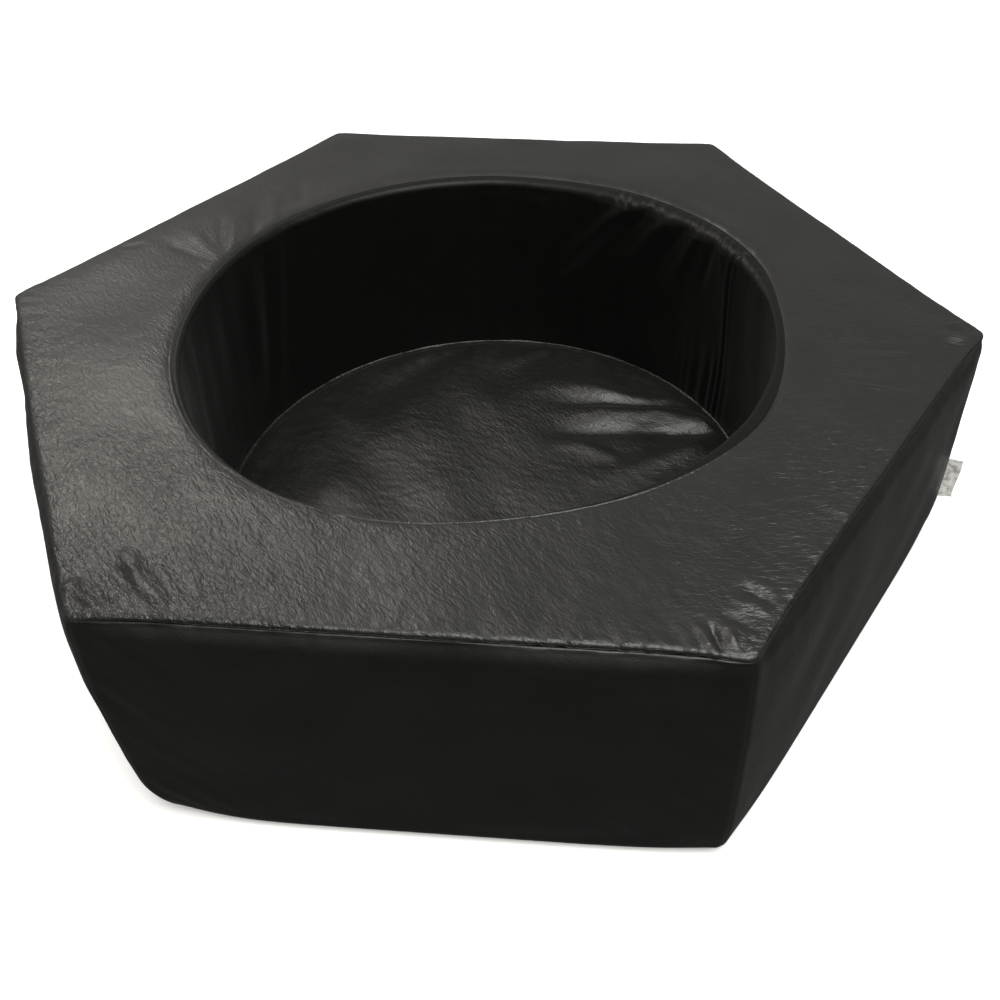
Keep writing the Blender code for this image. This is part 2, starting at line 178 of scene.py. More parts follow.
def outline(theta):
    """Points on the rounded hexagon, and its outward normals in plan."""
    from_corner = corner_angle(theta)
    corner = theta - from_corner
    c = (APOTHEM - CORNER_ROUND) / math.cos(HALF_SIDE)
    tangent = math.atan2(CORNER_ROUND / 2, c + CORNER_ROUND * math.cos(HALF_SIDE))
    flat_r = APOTHEM / np.cos(HALF_SIDE - np.abs(from_corner))
    inside = np.maximum(CORNER_ROUND ** 2 - (c * np.sin(from_corner)) ** 2, 0)
    round_r = c * np.cos(from_corner) + np.sqrt(inside)
    on_round = np.abs(from_corner) < tangent
    r = np.where(on_round, round_r, flat_r)
    points = np.stack([r * np.cos(theta), r * np.sin(theta)], -1)
    centre = np.stack([c * np.cos(corner), c * np.sin(corner)], -1)
    round_normal = (points - centre) / CORNER_ROUND
    side = corner + np.sign(from_corner) * HALF_SIDE
    flat_normal = np.stack([np.cos(side), np.sin(side)], -1)
    normal = np.where(on_round[..., None], round_normal, flat_normal)
    return points, normal


def top_inset(theta):
    """How far inside the outline the top panel's edge and the side bands' seam lie."""
    return TOP_INSET - (TOP_INSET - CORNER_INSET) * bump(corner_angle(theta) * CORNER_R, 0.05)


def edge_coordinates(theta):
    """(distance along the outline, distance to the nearest corner along it)."""
    points, _ = outline(theta)
    step = np.linalg.norm(np.roll(points, -1, 0) - points, axis=1)
    along = np.concatenate([[0], np.cumsum(step)[:-1]])
    side = (along[-1] + step[-1]) / SIDES
    offset = along % side
    return along, np.minimum(offset, side - offset)


# ---- the real cover isn't regular
# At each corner: (outwards, counterclockwise) at each of LEVELS, in metres
LEVELS = (0.0, 0.12, 0.26, 0.385)
CORNER_SHIFTS = np.array([
    ((0.005, 0), (0.003, 0), (0.001, 0), (0, 0)),
    ((0, 0), (0, 0), (0, 0), (0, 0)),
    ((0, 0), (0, 0), (0.003, 0), (0.005, 0)),
    ((-0.006, 0), (-0.003, 0), (0, 0), (-0.003, 0)),
    ((0, 0.02), (0.003, 0.003), (0.006, -0.008), (0.004, -0.004)),
    ((0.005, 0), (0.003, 0), (0.001, 0), (-0.002, -0.003)),
])
# How far the foot of each corner is rounded in, on top of that
CORNER_TUCKS = (0.01, 0, 0, 0.016, 0.028, 0.012)
TUCK_WIDTH = 0.075
TUCK_HEIGHT = 0.085
# How far each side swells in its middle; side 1 looks towards 30 degrees
SIDE_SWELL = (0.002, 0.003, 0.003, 0.016, 0.003, 0.003)


def corner_move(corner, z):
    """Plan movement of a corner at a height."""
    angle = SIDE_ANGLE * corner
    out = np.zeros_like(z)
    turn = np.zeros_like(z)
    for i in range(SIDES):
        here = corner == i
        out[here] = np.interp(z[here], LEVELS, CORNER_SHIFTS[i, :, 0])
        turn[here] = np.interp(z[here], LEVELS, CORNER_SHIFTS[i, :, 1])
    x = out * np.cos(angle) - turn * np.sin(angle)
    y = out * np.sin(angle) + turn * np.cos(angle)
    return np.stack([x, y], -1)


def warped(points):
    """Moves points near the outline as the corners and the swelling sides carry them."""
    x, y, z = points[..., 0], points[..., 1], points[..., 2]
    theta = np.arctan2(y, x) % (2 * math.pi)
    side = np.floor(theta / SIDE_ANGLE).astype(int) % SIDES
    middle = SIDE_ANGLE * (side + 0.5)
    hexed = x * np.cos(middle) + y * np.sin(middle)
    across = -x * np.sin(middle) + y * np.cos(middle)
    half = np.maximum(hexed, 1e-6) * math.tan(HALF_SIDE)
    share = np.clip(across / half / 2 + 0.5, 0, 1)
    following = (side + 1) % SIDES
    move = corner_move(side, z) * (1 - share)[..., None]
    move += corner_move(following, z) * share[..., None]
    swell = np.array(SIDE_SWELL)[side] * (1 - (2 * share - 1) ** 4)
    swell = swell * ease(z / 0.16) * (1 - 0.35 * ease((z - 0.3) / 0.08))
    move += swell[..., None] * np.stack([np.cos(middle), np.sin(middle)], -1)
    nearest = np.where(share > 0.5, following, side)
    gap = np.minimum(share, 1 - share) * 2 * half
    foot = (1 - np.clip(z / TUCK_HEIGHT, 0, 1)) ** 2
    tuck = np.array(CORNER_TUCKS)[nearest] * np.exp(-(gap / TUCK_WIDTH) ** 1.5) * foot
    direction = SIDE_ANGLE * nearest
    move -= tuck[..., None] * np.stack([np.cos(direction), np.sin(direction)], -1)
    reach = ease((hexed - 0.45) / (APOTHEM - 0.45))
    result = points.copy()
    result[..., :2] += move * reach[..., None]
    return result


# ---- base shapes
# Round the rim: (degrees, how far the foam pushes the edge outwards, how far outside the flat
# top's edge the seam lies; below zero it is on the roll), in metres
RIM = np.array([
    (0, -0.019, 0.005), (20, -0.015, 0.007), (45, -0.009, 0.008), (62, -0.009, 0.008),
    (79, -0.006, 0.007), (98, 0.003, 0.006), (117, 0.004, 0.006), (141, 0.000, 0.006),
    (155, -0.004, 0.006), (168, -0.01, 0.005), (180, -0.013, 0.005), (189, -0.014, 0.005),
    (212, -0.006, 0.002), (225, 0.005, -0.001), (244, 0.013, -0.003), (265, 0.005, -0.003),
    (283, -0.008, -0.002), (302, -0.005, 0.000), (318, -0.008, 0.008), (331, -0.012, 0.016),
    (346, -0.018, 0.008),
])
RIM_SAMPLES = 720


def round_the_rim(column):
    """A column of RIM, smoothed, at RIM_SAMPLES places round the rim."""
    degrees = np.arange(RIM_SAMPLES) * 360 / RIM_SAMPLES
    values = np.interp(degrees, RIM[:, 0], RIM[:, column], period=360)
    spread = np.exp(-(np.minimum(degrees, 360 - degrees) / 8.0) ** 2)
    blurred = np.fft.ifft(np.fft.fft(values) * np.fft.fft(spread / spread.sum()))
    return degrees, blurred.real


EDGE_SHIFT = round_the_rim(1)
SEAM_PLACE = round_the_rim(2)


def edge_shift(theta):
    return np.interp(np.degrees(theta) % 360, *EDGE_SHIFT, period=360)


def roll_size(theta):
    degrees = np.degrees(theta) % 360
    roll = ROLL + BACK_ROLL * window(degrees, 45, 140, 45)
    return roll + GATHERED_ROLL * window(degrees, 26, 62, 22)


def rim_seam(theta):
    """How far above the wall's top, along the roll and on across the top, the rim's seam lies."""
    beyond = np.interp(np.degrees(theta) % 360, *SEAM_PLACE, period=360)
    return roll_size(theta) * math.pi / 2 + beyond


def rim_profile(theta, s):
    """(radius, height) along the roll and on across the top; s is 0 where the wall ends."""
    roll = roll_size(theta)
    roll_arc = roll * math.pi / 2
    a = np.clip(s / roll_arc, 0, 1) * math.pi / 2
    r = WELL_R + edge_shift(theta) + roll * (1 - np.cos(a)) + np.maximum(s - roll_arc, 0)
    z = HEIGHT - roll + roll * np.sin(a)
    return r, z


def plan_point(theta, r):
    return np.stack([r * np.cos(theta), r * np.sin(theta)], -1)


def top_surface(theta, u):
    """The top panel. u runs from the rim's seam, 0, to the strip along the outline, 1."""
    s0 = rim_seam(theta)
    band = strip_point(theta, EDGE_BAND + top_inset(theta))
    roll = roll_size(theta)
    roll_arc = roll * math.pi / 2
    rim_r = WELL_R + edge_shift(theta) + roll
    reach = np.linalg.norm(band, axis=-1) - rim_r
    s = s0 + u * (roll_arc + reach - s0)
    r, z = rim_profile(theta, s)
    share = np.clip((s - roll_arc) / reach, 0, 1)[..., None]
    on_roll = plan_point(theta, r)
    rim = plan_point(theta, rim_r)
    flat = rim * (1 - share) + band * share
    xy = np.where((s > roll_arc)[..., None], flat, on_roll)
    return np.concatenate([xy, z[..., None]], -1)


def strip_point(theta, inward):
    """Points this far inside the outline."""
    points, normal = outline(theta)
    return points - normal * inward[..., None]


def edge_strip(theta, t):
    """From the strip's inner line, 0, over the edge's roll to the seam's groove, 1."""
    flat = EDGE_BAND - EDGE_ROLL
    over = EDGE_ROLL * EDGE_TURN
    s = t * (flat + over + TUCKED_IN)
    a = np.clip((s - flat) / EDGE_ROLL, 0, EDGE_TURN)
    inward = EDGE_BAND + top_inset(theta) - np.minimum(s, flat)
    inward = inward - EDGE_ROLL * np.sin(a)
    z = HEIGHT - EDGE_ROLL + EDGE_ROLL * np.cos(a)
    tuck = np.maximum(s - flat - over, 0)
    inward = inward + tuck * 1.5
    z = z - tuck * 0.3
    points = strip_point(theta, inward)
    return np.concatenate([points, z[..., None]], -1)


def bottom_round(theta):
    back = window(np.degrees(theta) % 360, 60, 120, 10)
    return TIGHT_ROUND + (BOTTOM_ROUND - TIGHT_ROUND) * back


def side_surface(theta, t):
    """A side band. t is the distance down it from the seam's groove."""
    foot = bottom_round(theta)
    drop = SEAM_Z - foot
    straight = RIDGE + drop
    out = np.clip(t / RIDGE, 0, 1)
    a = np.clip((t - straight) / foot, 0, math.pi / 2)
    under = np.maximum(t - straight - foot * math.pi / 2, 0)
    inward = RIDGE_IN * (1 - ease(out)) + foot * (1 - np.cos(a)) + under
    shoulder = top_inset(theta) + SHOULDER_MORE
    inward = inward + shoulder * (1 - np.clip((t - RIDGE) / SHOULDER_DEPTH, 0, 1)) ** 2
    z = SEAM_Z - np.clip(t - RIDGE, 0, drop) - foot * np.sin(a)
    z = z - 0.0004 * np.clip(1 - out, 0, 1)
    points = strip_point(theta, inward)
    return np.concatenate([points, np.maximum(z, 0.0)[..., None]], -1)


def lining_surface(theta, t):
    """The well's lining. t runs down from the rim's seam, 0, to the foot, 1."""
    s0 = rim_seam(theta)
    roll = roll_size(theta)
    wall = HEIGHT - roll - BED_TOP
    s = s0 - t * (s0 + wall)
    r, z = rim_profile(theta, np.maximum(s, 0))
    down = np.clip(-s, 0, None)
    lean = FOOT_IN * (down / wall) ** 2
    r = r - lean - edge_shift(theta) * ease(down / (0.8 * wall))
    z = np.where(s < 0, HEIGHT - roll - down, z)
    return np.concatenate([plan_point(theta, r), z[..., None]], -1)


# ---- meshes on a grid
def sheet(surface, theta, places):
    """Points of a surface, an array (rows, columns, 3), with a row for each place."""
    return np.array([surface(theta, np.full_like(theta, place)) for place in places])


def grid_normals(points):
    """Unit normals of an array (rows, columns, 3) whose columns go round the axis."""
    down = np.gradient(points, axis=0)
    around = (np.roll(points, -1, 1) - np.roll(points, 1, 1)) / 2
    normal = np.cross(around, down)
    length = np.linalg.norm(normal, axis=-1, keepdims=True)
    return normal / np.maximum(length, 1e-12)


def grid_faces(rows, columns, closed=True, flip=False):
    """Four-cornered faces between the rows, as lists. A closed grid joins its last column to the first."""
    i = np.arange(rows - 1)[:, None]
    j = np.arange(columns if closed else columns - 1)[None, :]
    a = i * columns + j
    b = i * columns + (j + 1) % columns
    faces = np.stack([a, b, b + columns, a + columns], -1).reshape(-1, 4)
    return faces[:, ::-1 if flip else 1].tolist()


def placed(name, data):
    """A new object in the scene."""
    obj = bpy.data.objects.new(name, data)
    bpy.context.scene.collection.objects.link(obj)
    return obj


def mesh_object(name, points, faces, material=None):
    mesh = bpy.data.meshes.new(name)
    mesh.from_pydata(points.reshape(-1, 3).tolist(), [], faces)
    mesh.shade_smooth()
    obj = placed(name, mesh)
    if material:
        mesh.materials.append(material)
    return obj


# ---- cloth simulation
SIM_FRAMES = 24
RIM_HOLD = 0.75  # how firmly each seam is held; 1 can't move
EDGE_HOLD = 0.8
CORNER_HOLD = 0.75
CLOTH = {
    "quality": 6,
    "mass": 0.35,
    "tension_stiffness": 30,
    "compression_stiffness": 30,
    "shear_stiffness": 15,
    "bending_stiffness": 1.2,
    "air_damping": 2,
    "vertex_group_mass": "pin",
    "pin_stiffness": 2.0,
    "use_pressure": True,
    "uniform_pressure_force": 3.5,
    "vertex_group_shrink": "seam",
    "shrink_min": -0.012,
    "shrink_max": 0.012,
}


# Places of the cloth's rows on the lining, the top, the strip at its edge and the side
LINING_ROWS = np.linspace(1, 0, 26)
TOP_ROWS = np.linspace(0, 1, 20)[1:]
STRIP_ROWS = np.linspace(0, 1, 4)[1:]
SIDE_ROWS = np.linspace(0, 1, 32)[1:]
RIM_ROW = len(LINING_ROWS) - 1
EDGE_ROW = RIM_ROW + len(TOP_ROWS) + len(STRIP_ROWS)


def seam_weights(theta):
    """How firmly each point of the cloth is held, and where its seams draw in."""
    pin = np.zeros((EDGE_ROW + 1 + len(SIDE_ROWS), len(theta)))
    pin[:2] = 1.0
    pin[-4:] = 1.0
    pin[RIM_ROW] = RIM_HOLD
    pin[EDGE_ROW] = EDGE_HOLD
    at_corner = np.abs(corner_angle(theta)) < 0.004
    pin[EDGE_ROW:] = np.maximum(pin[EDGE_ROW:], CORNER_HOLD * at_corner)
    pull = np.zeros_like(pin)
    pull[[RIM_ROW, EDGE_ROW]] = 1.0
    return pin, pull


def simulate_cover():
    """How the cover moves when its slack is blown up and its seams are drawn in.

    Returns an array (rows, columns, 3) and the angles of its columns.
    """
    theta = warped_columns(SIM_SIDE_COLUMNS, 0.2)
    points = np.concatenate([
        sheet(lining_surface, theta, LINING_ROWS),
        sheet(top_surface, theta, TOP_ROWS),
        sheet(edge_strip, theta, STRIP_ROWS),
        sheet(side_surface, theta, SIDE_ROWS * SIDE_LENGTH),
    ])
    mesh = bpy.data.meshes.new("cover_cloth")
    faces = grid_faces(*points.shape[:2], flip=True)
    mesh.from_pydata(points.reshape(-1, 3).tolist(), [], faces)
    obj = placed("cover_cloth", mesh)
    pin, pull = seam_weights(theta)
    add_weights(obj, "pin", pin)
    add_weights(obj, "seam", pull)
    cloth = obj.modifiers.new("Cloth", "CLOTH")
    for key, value in CLOTH.items():
        setattr(cloth.settings, key, value)
    cloth.settings.effector_weights.gravity = 0
    cloth.collision_settings.use_collision = False
    cloth.collision_settings.use_self_collision = False
    moved = settled_points(obj, SIM_FRAMES) - points.reshape(-1, 3)
    bpy.data.objects.remove(obj)
    return moved.reshape(points.shape), theta


def add_weights(obj, name, weights):
    group = obj.vertex_groups.new(name=name)
    flat = weights.ravel()
    for value in np.unique(flat):
        if value > 0:
            group.add(np.flatnonzero(flat == value).tolist(), float(value), "REPLACE")


def settled_points(obj, frames):
    scene = bpy.context.scene
    for number in range(1, frames + 1):
        scene.frame_set(number)
    graph = bpy.context.evaluated_depsgraph_get()
    mesh = obj.evaluated_get(graph).to_mesh()
    points = np.zeros(len(mesh.vertices) * 3)
    mesh.vertices.foreach_get("co", points)
    scene.frame_set(1)
    return points.reshape(-1, 3)


def row_matrix(positions, wanted):
    """Catmull-Rom weights that read values known at positions at the wanted places."""
    n = len(positions)
    index = np.clip(np.searchsorted(positions, wanted, "right") - 1, 0, n - 2)
    t = (wanted - positions[index]) / (positions[index + 1] - positions[index])
    t = np.clip(t, 0, 1)
    weights = np.stack([
        -0.5 * t + t ** 2 - 0.5 * t ** 3,
        1 - 2.5 * t ** 2 + 1.5 * t ** 3,
        0.5 * t + 2 * t ** 2 - 1.5 * t ** 3,
        -0.5 * t ** 2 + 0.5 * t ** 3,
    ], -1)
    matrix = np.zeros((len(wanted), n))
    for k in range(4):
        np.add.at(matrix, (np.arange(len(wanted)), np.clip(index + k - 1, 0, n - 1)), weights[:, k])
    return matrix


def wrapped_matrix(positions, wanted):
    """The same, round a full turn."""
    n = len(positions)
    turn = 2 * math.pi
    longer = np.concatenate([positions[-3:] - turn, positions, positions[:3] + turn])
    matrix = row_matrix(longer, wanted % turn)
    folded = matrix[:, 3:3 + n].copy()
    folded[:, -3:] += matrix[:, :3]
    folded[:, :3] += matrix[:, 3 + n:]
    return folded


def resampled(field, rows_at, rows_wanted, columns_at, columns_wanted):
    down = row_matrix(rows_at, rows_wanted)
    across = wrapped_matrix(columns_at, columns_wanted)
    return np.einsum("ri,cj,ijk->rck", down, across, field)


def softened(field, passes):
    """A movement field with its short waves taken out; columns go round."""
    for _ in range(passes):
        field = (np.roll(field, 1, 1) + 2 * field + np.roll(field, -1, 1)) / 4
        inner = (field[:-2] + 2 * field[1:-1] + field[2:]) / 4
        field = np.concatenate([field[:1], inner, field[-1:]])
    return field


def capped(normal_move, limit):
    """Softly holds a movement within the limit."""
    return limit * np.tanh(normal_move / limit)


# ---- folds and puckers
def fold(x, y, ax, ay, bx, by, width, height, soft=0.35):
    """A ridge along a line from (ax, ay) to (bx, by), fading at both ends and wider towards the second."""
    dx, dy = bx - ax, by - ay
    length = math.hypot(dx, dy)
    dx, dy = dx / length, dy / length
    along = ((x - ax) * dx + (y - ay) * dy) / length
    across = (x - ax) * dy - (y - ay) * dx
    fade = ease(along / soft) * ease((1 - along) / soft)
    narrow = width * (0.35 + 0.65 * np.clip(along, 0, 1))
    return height * fade * bump(across, narrow)


# Folds on the top: (start x, start y, end x, end y, width, height)
TOP_FOLDS = [
    # front-left corner
    (-0.254, -0.64, -0.362, -0.538, 0.013, 0.0034),
    (-0.272, -0.64, -0.372, -0.55, 0.01, -0.0034),
    (-0.288, -0.64, -0.352, -0.524, 0.011, 0.003),
    (-0.238, -0.64, -0.33, -0.525, 0.01, -0.0026),
    (-0.218, -0.64, -0.3, -0.505, 0.013, 0.0024),
    (-0.312, -0.64, -0.386, -0.59, 0.009, -0.004),
    (-0.33, -0.636, -0.392, -0.598, 0.008, 0.0034),
    (-0.352, -0.634, -0.38, -0.62, 0.007, -0.0034),
    (-0.392, -0.612, -0.372, -0.59, 0.013, 0.0042),
    # front-right corner
    (0.338, -0.641, 0.326, -0.6, 0.006, -0.0048),
    (0.326, -0.641, 0.312, -0.6, 0.009, 0.003),
    (0.352, -0.636, 0.345, -0.598, 0.01, 0.0036),
    (0.38, -0.61, 0.335, -0.585, 0.01, -0.003),
    (0.395, -0.585, 0.345, -0.56, 0.012, 0.0036),
    (0.402, -0.57, 0.36, -0.545, 0.008, -0.003),
    (0.412, -0.553, 0.35, -0.525, 0.012, 0.0026),
    # right corner
    (0.728, 0.022, 0.69, 0.01, 0.009, 0.0024),
    (0.722, -0.028, 0.68, -0.014, 0.009, 0.0026),
    (0.716, -0.042, 0.672, -0.03, 0.008, -0.0022),
    # long creases on the right
    (0.5, -0.14, 0.64, -0.17, 0.006, 0.0013),
    (0.48, -0.12, 0.62, -0.12, 0.007, -0.001),
    (0.52, -0.07, 0.65, -0.07, 0.006, 0.001),
    (0.49, -0.04, 0.66, -0.03, 0.007, -0.0009),
    (0.52, -0.285, 0.575, -0.28, 0.005, 0.0012),
    # short creases along the front-left of the rim
    (-0.235, -0.385, -0.15, -0.46, 0.008, 0.0015),
    (-0.2, -0.402, -0.11, -0.48, 0.007, -0.0014),
    (-0.16, -0.418, -0.08, -0.485, 0.007, 0.0014),
    (-0.345, -0.288, -0.28, -0.35, 0.008, 0.0012),
    # back-left: soft folds from the rim out to the side
    (-0.452, 0.128, -0.545, 0.235, 0.016, 0.0018),
    (-0.458, 0.118, -0.58, 0.19, 0.015, -0.0014),
    (-0.447, 0.14, -0.5, 0.29, 0.015, -0.0017),
    (-0.442, 0.152, -0.48, 0.31, 0.018, 0.0017),
    (-0.42, 0.205, -0.45, 0.35, 0.016, -0.0013),
    (-0.4, 0.25, -0.43, 0.4, 0.02, 0.0014),
    (-0.36, 0.31, -0.4, 0.45, 0.018, -0.0011),
    (-0.64, 0.15, -0.585, 0.17, 0.012, -0.0014),
]


def top_detail(theta, xy, from_rim, from_edge):
    """Height added to the top panel."""
    x, y = xy[..., 0], xy[..., 1]
    total = np.zeros_like(x)
    for row in TOP_FOLDS:
        total += fold(x, y, *row)
    # puckers drawn in by the outer seam, strongest on the front and at its corners
    along, to_corner = edge_coordinates(theta[0])
    front = ease((0.3 - y) / 0.8)
    strength = 0.1 + 0.12 * front + 0.9 * bump(angle_from(theta, -72), 0.24)
    strength += 0.8 * bump(angle_from(theta, -48), 0.14)
    strength += 0.6 * bump(to_corner[None, :], 0.06) * front
    fine = PUCKER_FINE(along[None, :], from_edge * 0.25)
    broad = PUCKER_BROAD(along[None, :], from_edge * 0.3)
    joined = ease(to_corner / 0.016)[None, :]
    total += joined * strength * 0.0016 * fine * np.exp(-from_edge / 0.022)
    total += joined * strength * 0.0016 * broad * np.exp(-from_edge / 0.055)
    total += 0.6 * gathers(theta, -from_rim) * np.exp(-from_rim / 0.014) * ease(from_rim / 0.01)
    # the foam's uneven surface
    inside = ease(from_edge / 0.06) * ease(from_rim / 0.05)
    total += 0.0014 * FOAM_WAVES(x, y) * inside
    near = 0.1 + 0.9 * ease((0.35 - y) / 0.8)
    crumple = CRINKLE(x * 0.85 + y * 0.52, (y * 0.85 - x * 0.52) * 0.55)
    total += near * 0.0002 * crumple
    return total


def gathers(theta, down):
    """Bunched vinyl over the rim, by distance down into the well from the rim's seam."""
    strength = 0.03 + window(theta, math.radians(26), math.radians(60), math.radians(12))
    strength += 0.25 * bump(angle_from(theta, 142), 0.2)
    around = theta * WELL_R + down * 0.35
    bunched = np.sqrt(RIM_PUCKER(around, down * 0.25) ** 2 + 0.02)
    return strength * (0.003 * (bunched - 0.35) + 0.0003 * RIM_FINE(around, down * 0.3))


# ---- cover pieces
TOP_CAP = 0.004  # the most that the cloth's movement adds to each piece
SIDE_CAP = 0.01
SIDE_SHARE = 0.3  # how much of it a side band takes
LINING_CAP = 0.0012


def cloth_out(field, passes, at, wanted, angles, normal, limit):
    """The cloth's movement along the normals; angles are the cloth's columns and the wanted ones."""
    move = resampled(softened(field, passes), at, wanted, *angles)
    return capped((move * normal).sum(-1), limit)


def pushed(points, normal, amount):
    return points + normal * amount[..., None]


def on_outside(points):
    return warped(points) + CENTRE


def rim_groove(theta, from_rim):
    """The dip of the seam round the rim and the lip beside it, deepest at the front left."""
    nearest = window(np.degrees(theta), 215, 320, 30)
    groove = -(0.0004 + 0.001 * nearest) * bump(from_rim, 0.0016)
    return groove + (0.0001 + 0.0021 * nearest) * bump(from_rim - 0.0026, 0.0012)


def build_top(cloth, cloth_theta, material):
    theta = warped_columns(SIDE_COLUMNS)
    inner = [0.0, 0.003, 0.006, 0.009, 0.012, 0.015, 0.018, 0.022, 0.028, 0.036, 0.047]
    u = np.concatenate([inner, np.linspace(0.06, 0.985, 52), [1.0]])
    t = np.concatenate([[0.25, 0.45], np.linspace(0.52, 0.93, 9), [1.0]])
    points = np.concatenate([sheet(top_surface, theta, u), sheet(edge_strip, theta, t)])
    normal = -grid_normals(points)
    angles = np.broadcast_to(theta, points.shape[:2])
    from_edge = np.linalg.norm(points[..., :2] - outline(theta)[0], axis=-1)
    from_rim = np.linalg.norm(points[..., :2] - points[0, :, :2], axis=-1)
    field = cloth[RIM_ROW:EDGE_ROW + 1]
    at = np.concatenate([[0.0], TOP_ROWS, 1 + STRIP_ROWS * 0.1])
    wanted = np.concatenate([u, 1 + t * 0.1])
    out = cloth_out(field, 4, at, wanted, (cloth_theta, theta), normal, TOP_CAP)
    out = out + top_detail(angles, points[..., :2], from_rim, from_edge)
    keep = ease(from_edge / 0.01 + 0.15) * ease(from_rim / 0.004)
    points = pushed(points, normal, out * keep + rim_groove(angles, from_rim))
    faces = grid_faces(*points.shape[:2], flip=True)
    return mesh_object("cover_top", on_outside(points), faces, material)


def side_detail(theta, points, down):
    """Height added to the side bands: soft creases and waves."""
    z = points[..., 2]
    along, to_corner = edge_coordinates(theta[0])
    along = np.broadcast_to(along, theta.shape)
    corner = np.broadcast_to(to_corner, theta.shape)
    clear = window(z, 0.05, HEIGHT - 0.02, 0.03)
    joined = ease(corner / 0.02)
    total = 0.0018 * SIDE_WAVES(along, z) * clear * ease(corner / 0.06)
    near_top = np.exp(-down / 0.03) * joined
    total += 0.001 * PUCKER_BROAD(along + 1.7, down * 0.3) * near_top * ease(down / 0.008)
    total += 0.0004 * PUCKER_FINE(along + 0.4, down * 0.3) * np.exp(-down / 0.014) * joined
    # diagonal drag lines that run down from the corners
    drag = SIDE_RIPPLE(along * 0.9 + z * 0.8 + 3.1, z * 0.2)
    total += 0.0009 * drag * bump(corner, 0.1) * clear * joined
    total -= 0.0005 * bump(corner, 0.0015) * ease(down / 0.01) * ease(z / 0.02)
    return total


def build_sides(cloth, cloth_theta, material):
    theta = warped_columns(SIDE_COLUMNS)
    seam = [0, 0.0008, 0.0018, 0.0027, 0.0035, 0.005, 0.007, 0.0095]
    t = np.concatenate([seam, np.linspace(0.013, SIDE_LENGTH - TURN_UNDER, 74), [SIDE_LENGTH]])
    points = sheet(side_surface, theta, t)
    normal = -grid_normals(points)
    angles = np.broadcast_to(theta, points.shape[:2])
    down = np.broadcast_to(t[:, None], points.shape[:2])
    at = np.concatenate([[0.0], SIDE_ROWS]) * SIDE_LENGTH
    out = SIDE_SHARE * cloth_out(cloth[EDGE_ROW:], 16, at, t, (cloth_theta, theta), normal, SIDE_CAP)
    keep = ease((down - 0.003) / 0.012) * ease(points[..., 2] / 0.05)
    ridge = 0.0011 * bump(down - 0.0042, 0.0015)
    detail = side_detail(angles, points, down) * ease(down / 0.006)
    points = pushed(points, normal, out * keep + detail + ridge)
    points[..., 2] = np.maximum(points[..., 2], 0.0)
    faces = grid_faces(len(t), SIDE_COLUMNS + 1, closed=False, flip=True)
    made = []
    for i in range(SIDES):
        part = points[:, (np.arange(SIDE_COLUMNS + 1) + i * SIDE_COLUMNS) % COLUMNS]
        made.append(mesh_object(f"cover_side_{i + 1}", on_outside(part), faces, material))
    return made


# Folds down the lining: (degrees at the rim, lean to the left, width, height, lowest z)
WALL_FOLDS = [
    (61, 0.85, 0.017, 0.0105, 0.15),
    (56, 0.8, 0.014, -0.008, 0.17),
    (50, 0.72, 0.014, 0.0085, 0.19),
    (45, 0.6, 0.011, -0.006, 0.22),
    (41, 0.46, 0.011, 0.0065, 0.21),
    (36, 0.26, 0.009, -0.0045, 0.23),
    (148, 0.22, 0.012, 0.0038, 0.05),
    (152, 0.2, 0.01, -0.0034, 0.05),
    (157, 0.16, 0.014, 0.003, 0.06),
    (139, 0.18, 0.016, 0.0026, 0.12),
    (128, 0.14, 0.018, -0.002, 0.14),
    (104, 0.1, 0.02, 0.0016, 0.18),
    (82, 0.3, 0.022, 0.0022, 0.16),
]


def lining_seam(theta, z, down, wall):
    """The lining's own upright seam, with pleats at its foot."""
    seam = angle_from(theta, 29) * WELL_R
    total = -0.003 * bump(seam, 0.0026) * ease(down / 0.02)
    total += 0.0016 * (bump(seam - 0.008, 0.005) + bump(seam + 0.008, 0.005)) * wall
    foot = ease((0.21 - z) / 0.12)
    pleats = np.sin(seam * 2 * math.pi / 0.024 + 1.8 * np.sin(seam * 52))
    return total + 0.0024 * foot * bump(seam - 0.04, 0.055) * pleats


def lining_detail(theta, z, down):
    """Height added to the lining, towards the well's axis."""
    around = theta * WELL_R
    wall = ease(down / 0.03)
    total = 0.0009 * LINING_WAVES(around * 1.2, z * 0.35) * wall
    total += 0.0001 * LINING_RIPPLE(around * 1.3, z * 0.25) * wall
    total += gathers(theta, down) * np.exp(-(down / 0.055) ** 2) * ease(down / 0.012)
    total += lining_seam(theta, z, down, wall)
    for middle, lean, width, height, lowest in WALL_FOLDS:
        path = angle_from(theta, middle) * WELL_R - (HEIGHT - z) * lean
        spread = width * (1 + 1.2 * (HEIGHT - z) / HEIGHT)
        fade = ease((z - lowest) / 0.1) * ease((down - 0.016) / 0.045)
        total += 0.8 * height * bump(path, spread) * fade
    return total


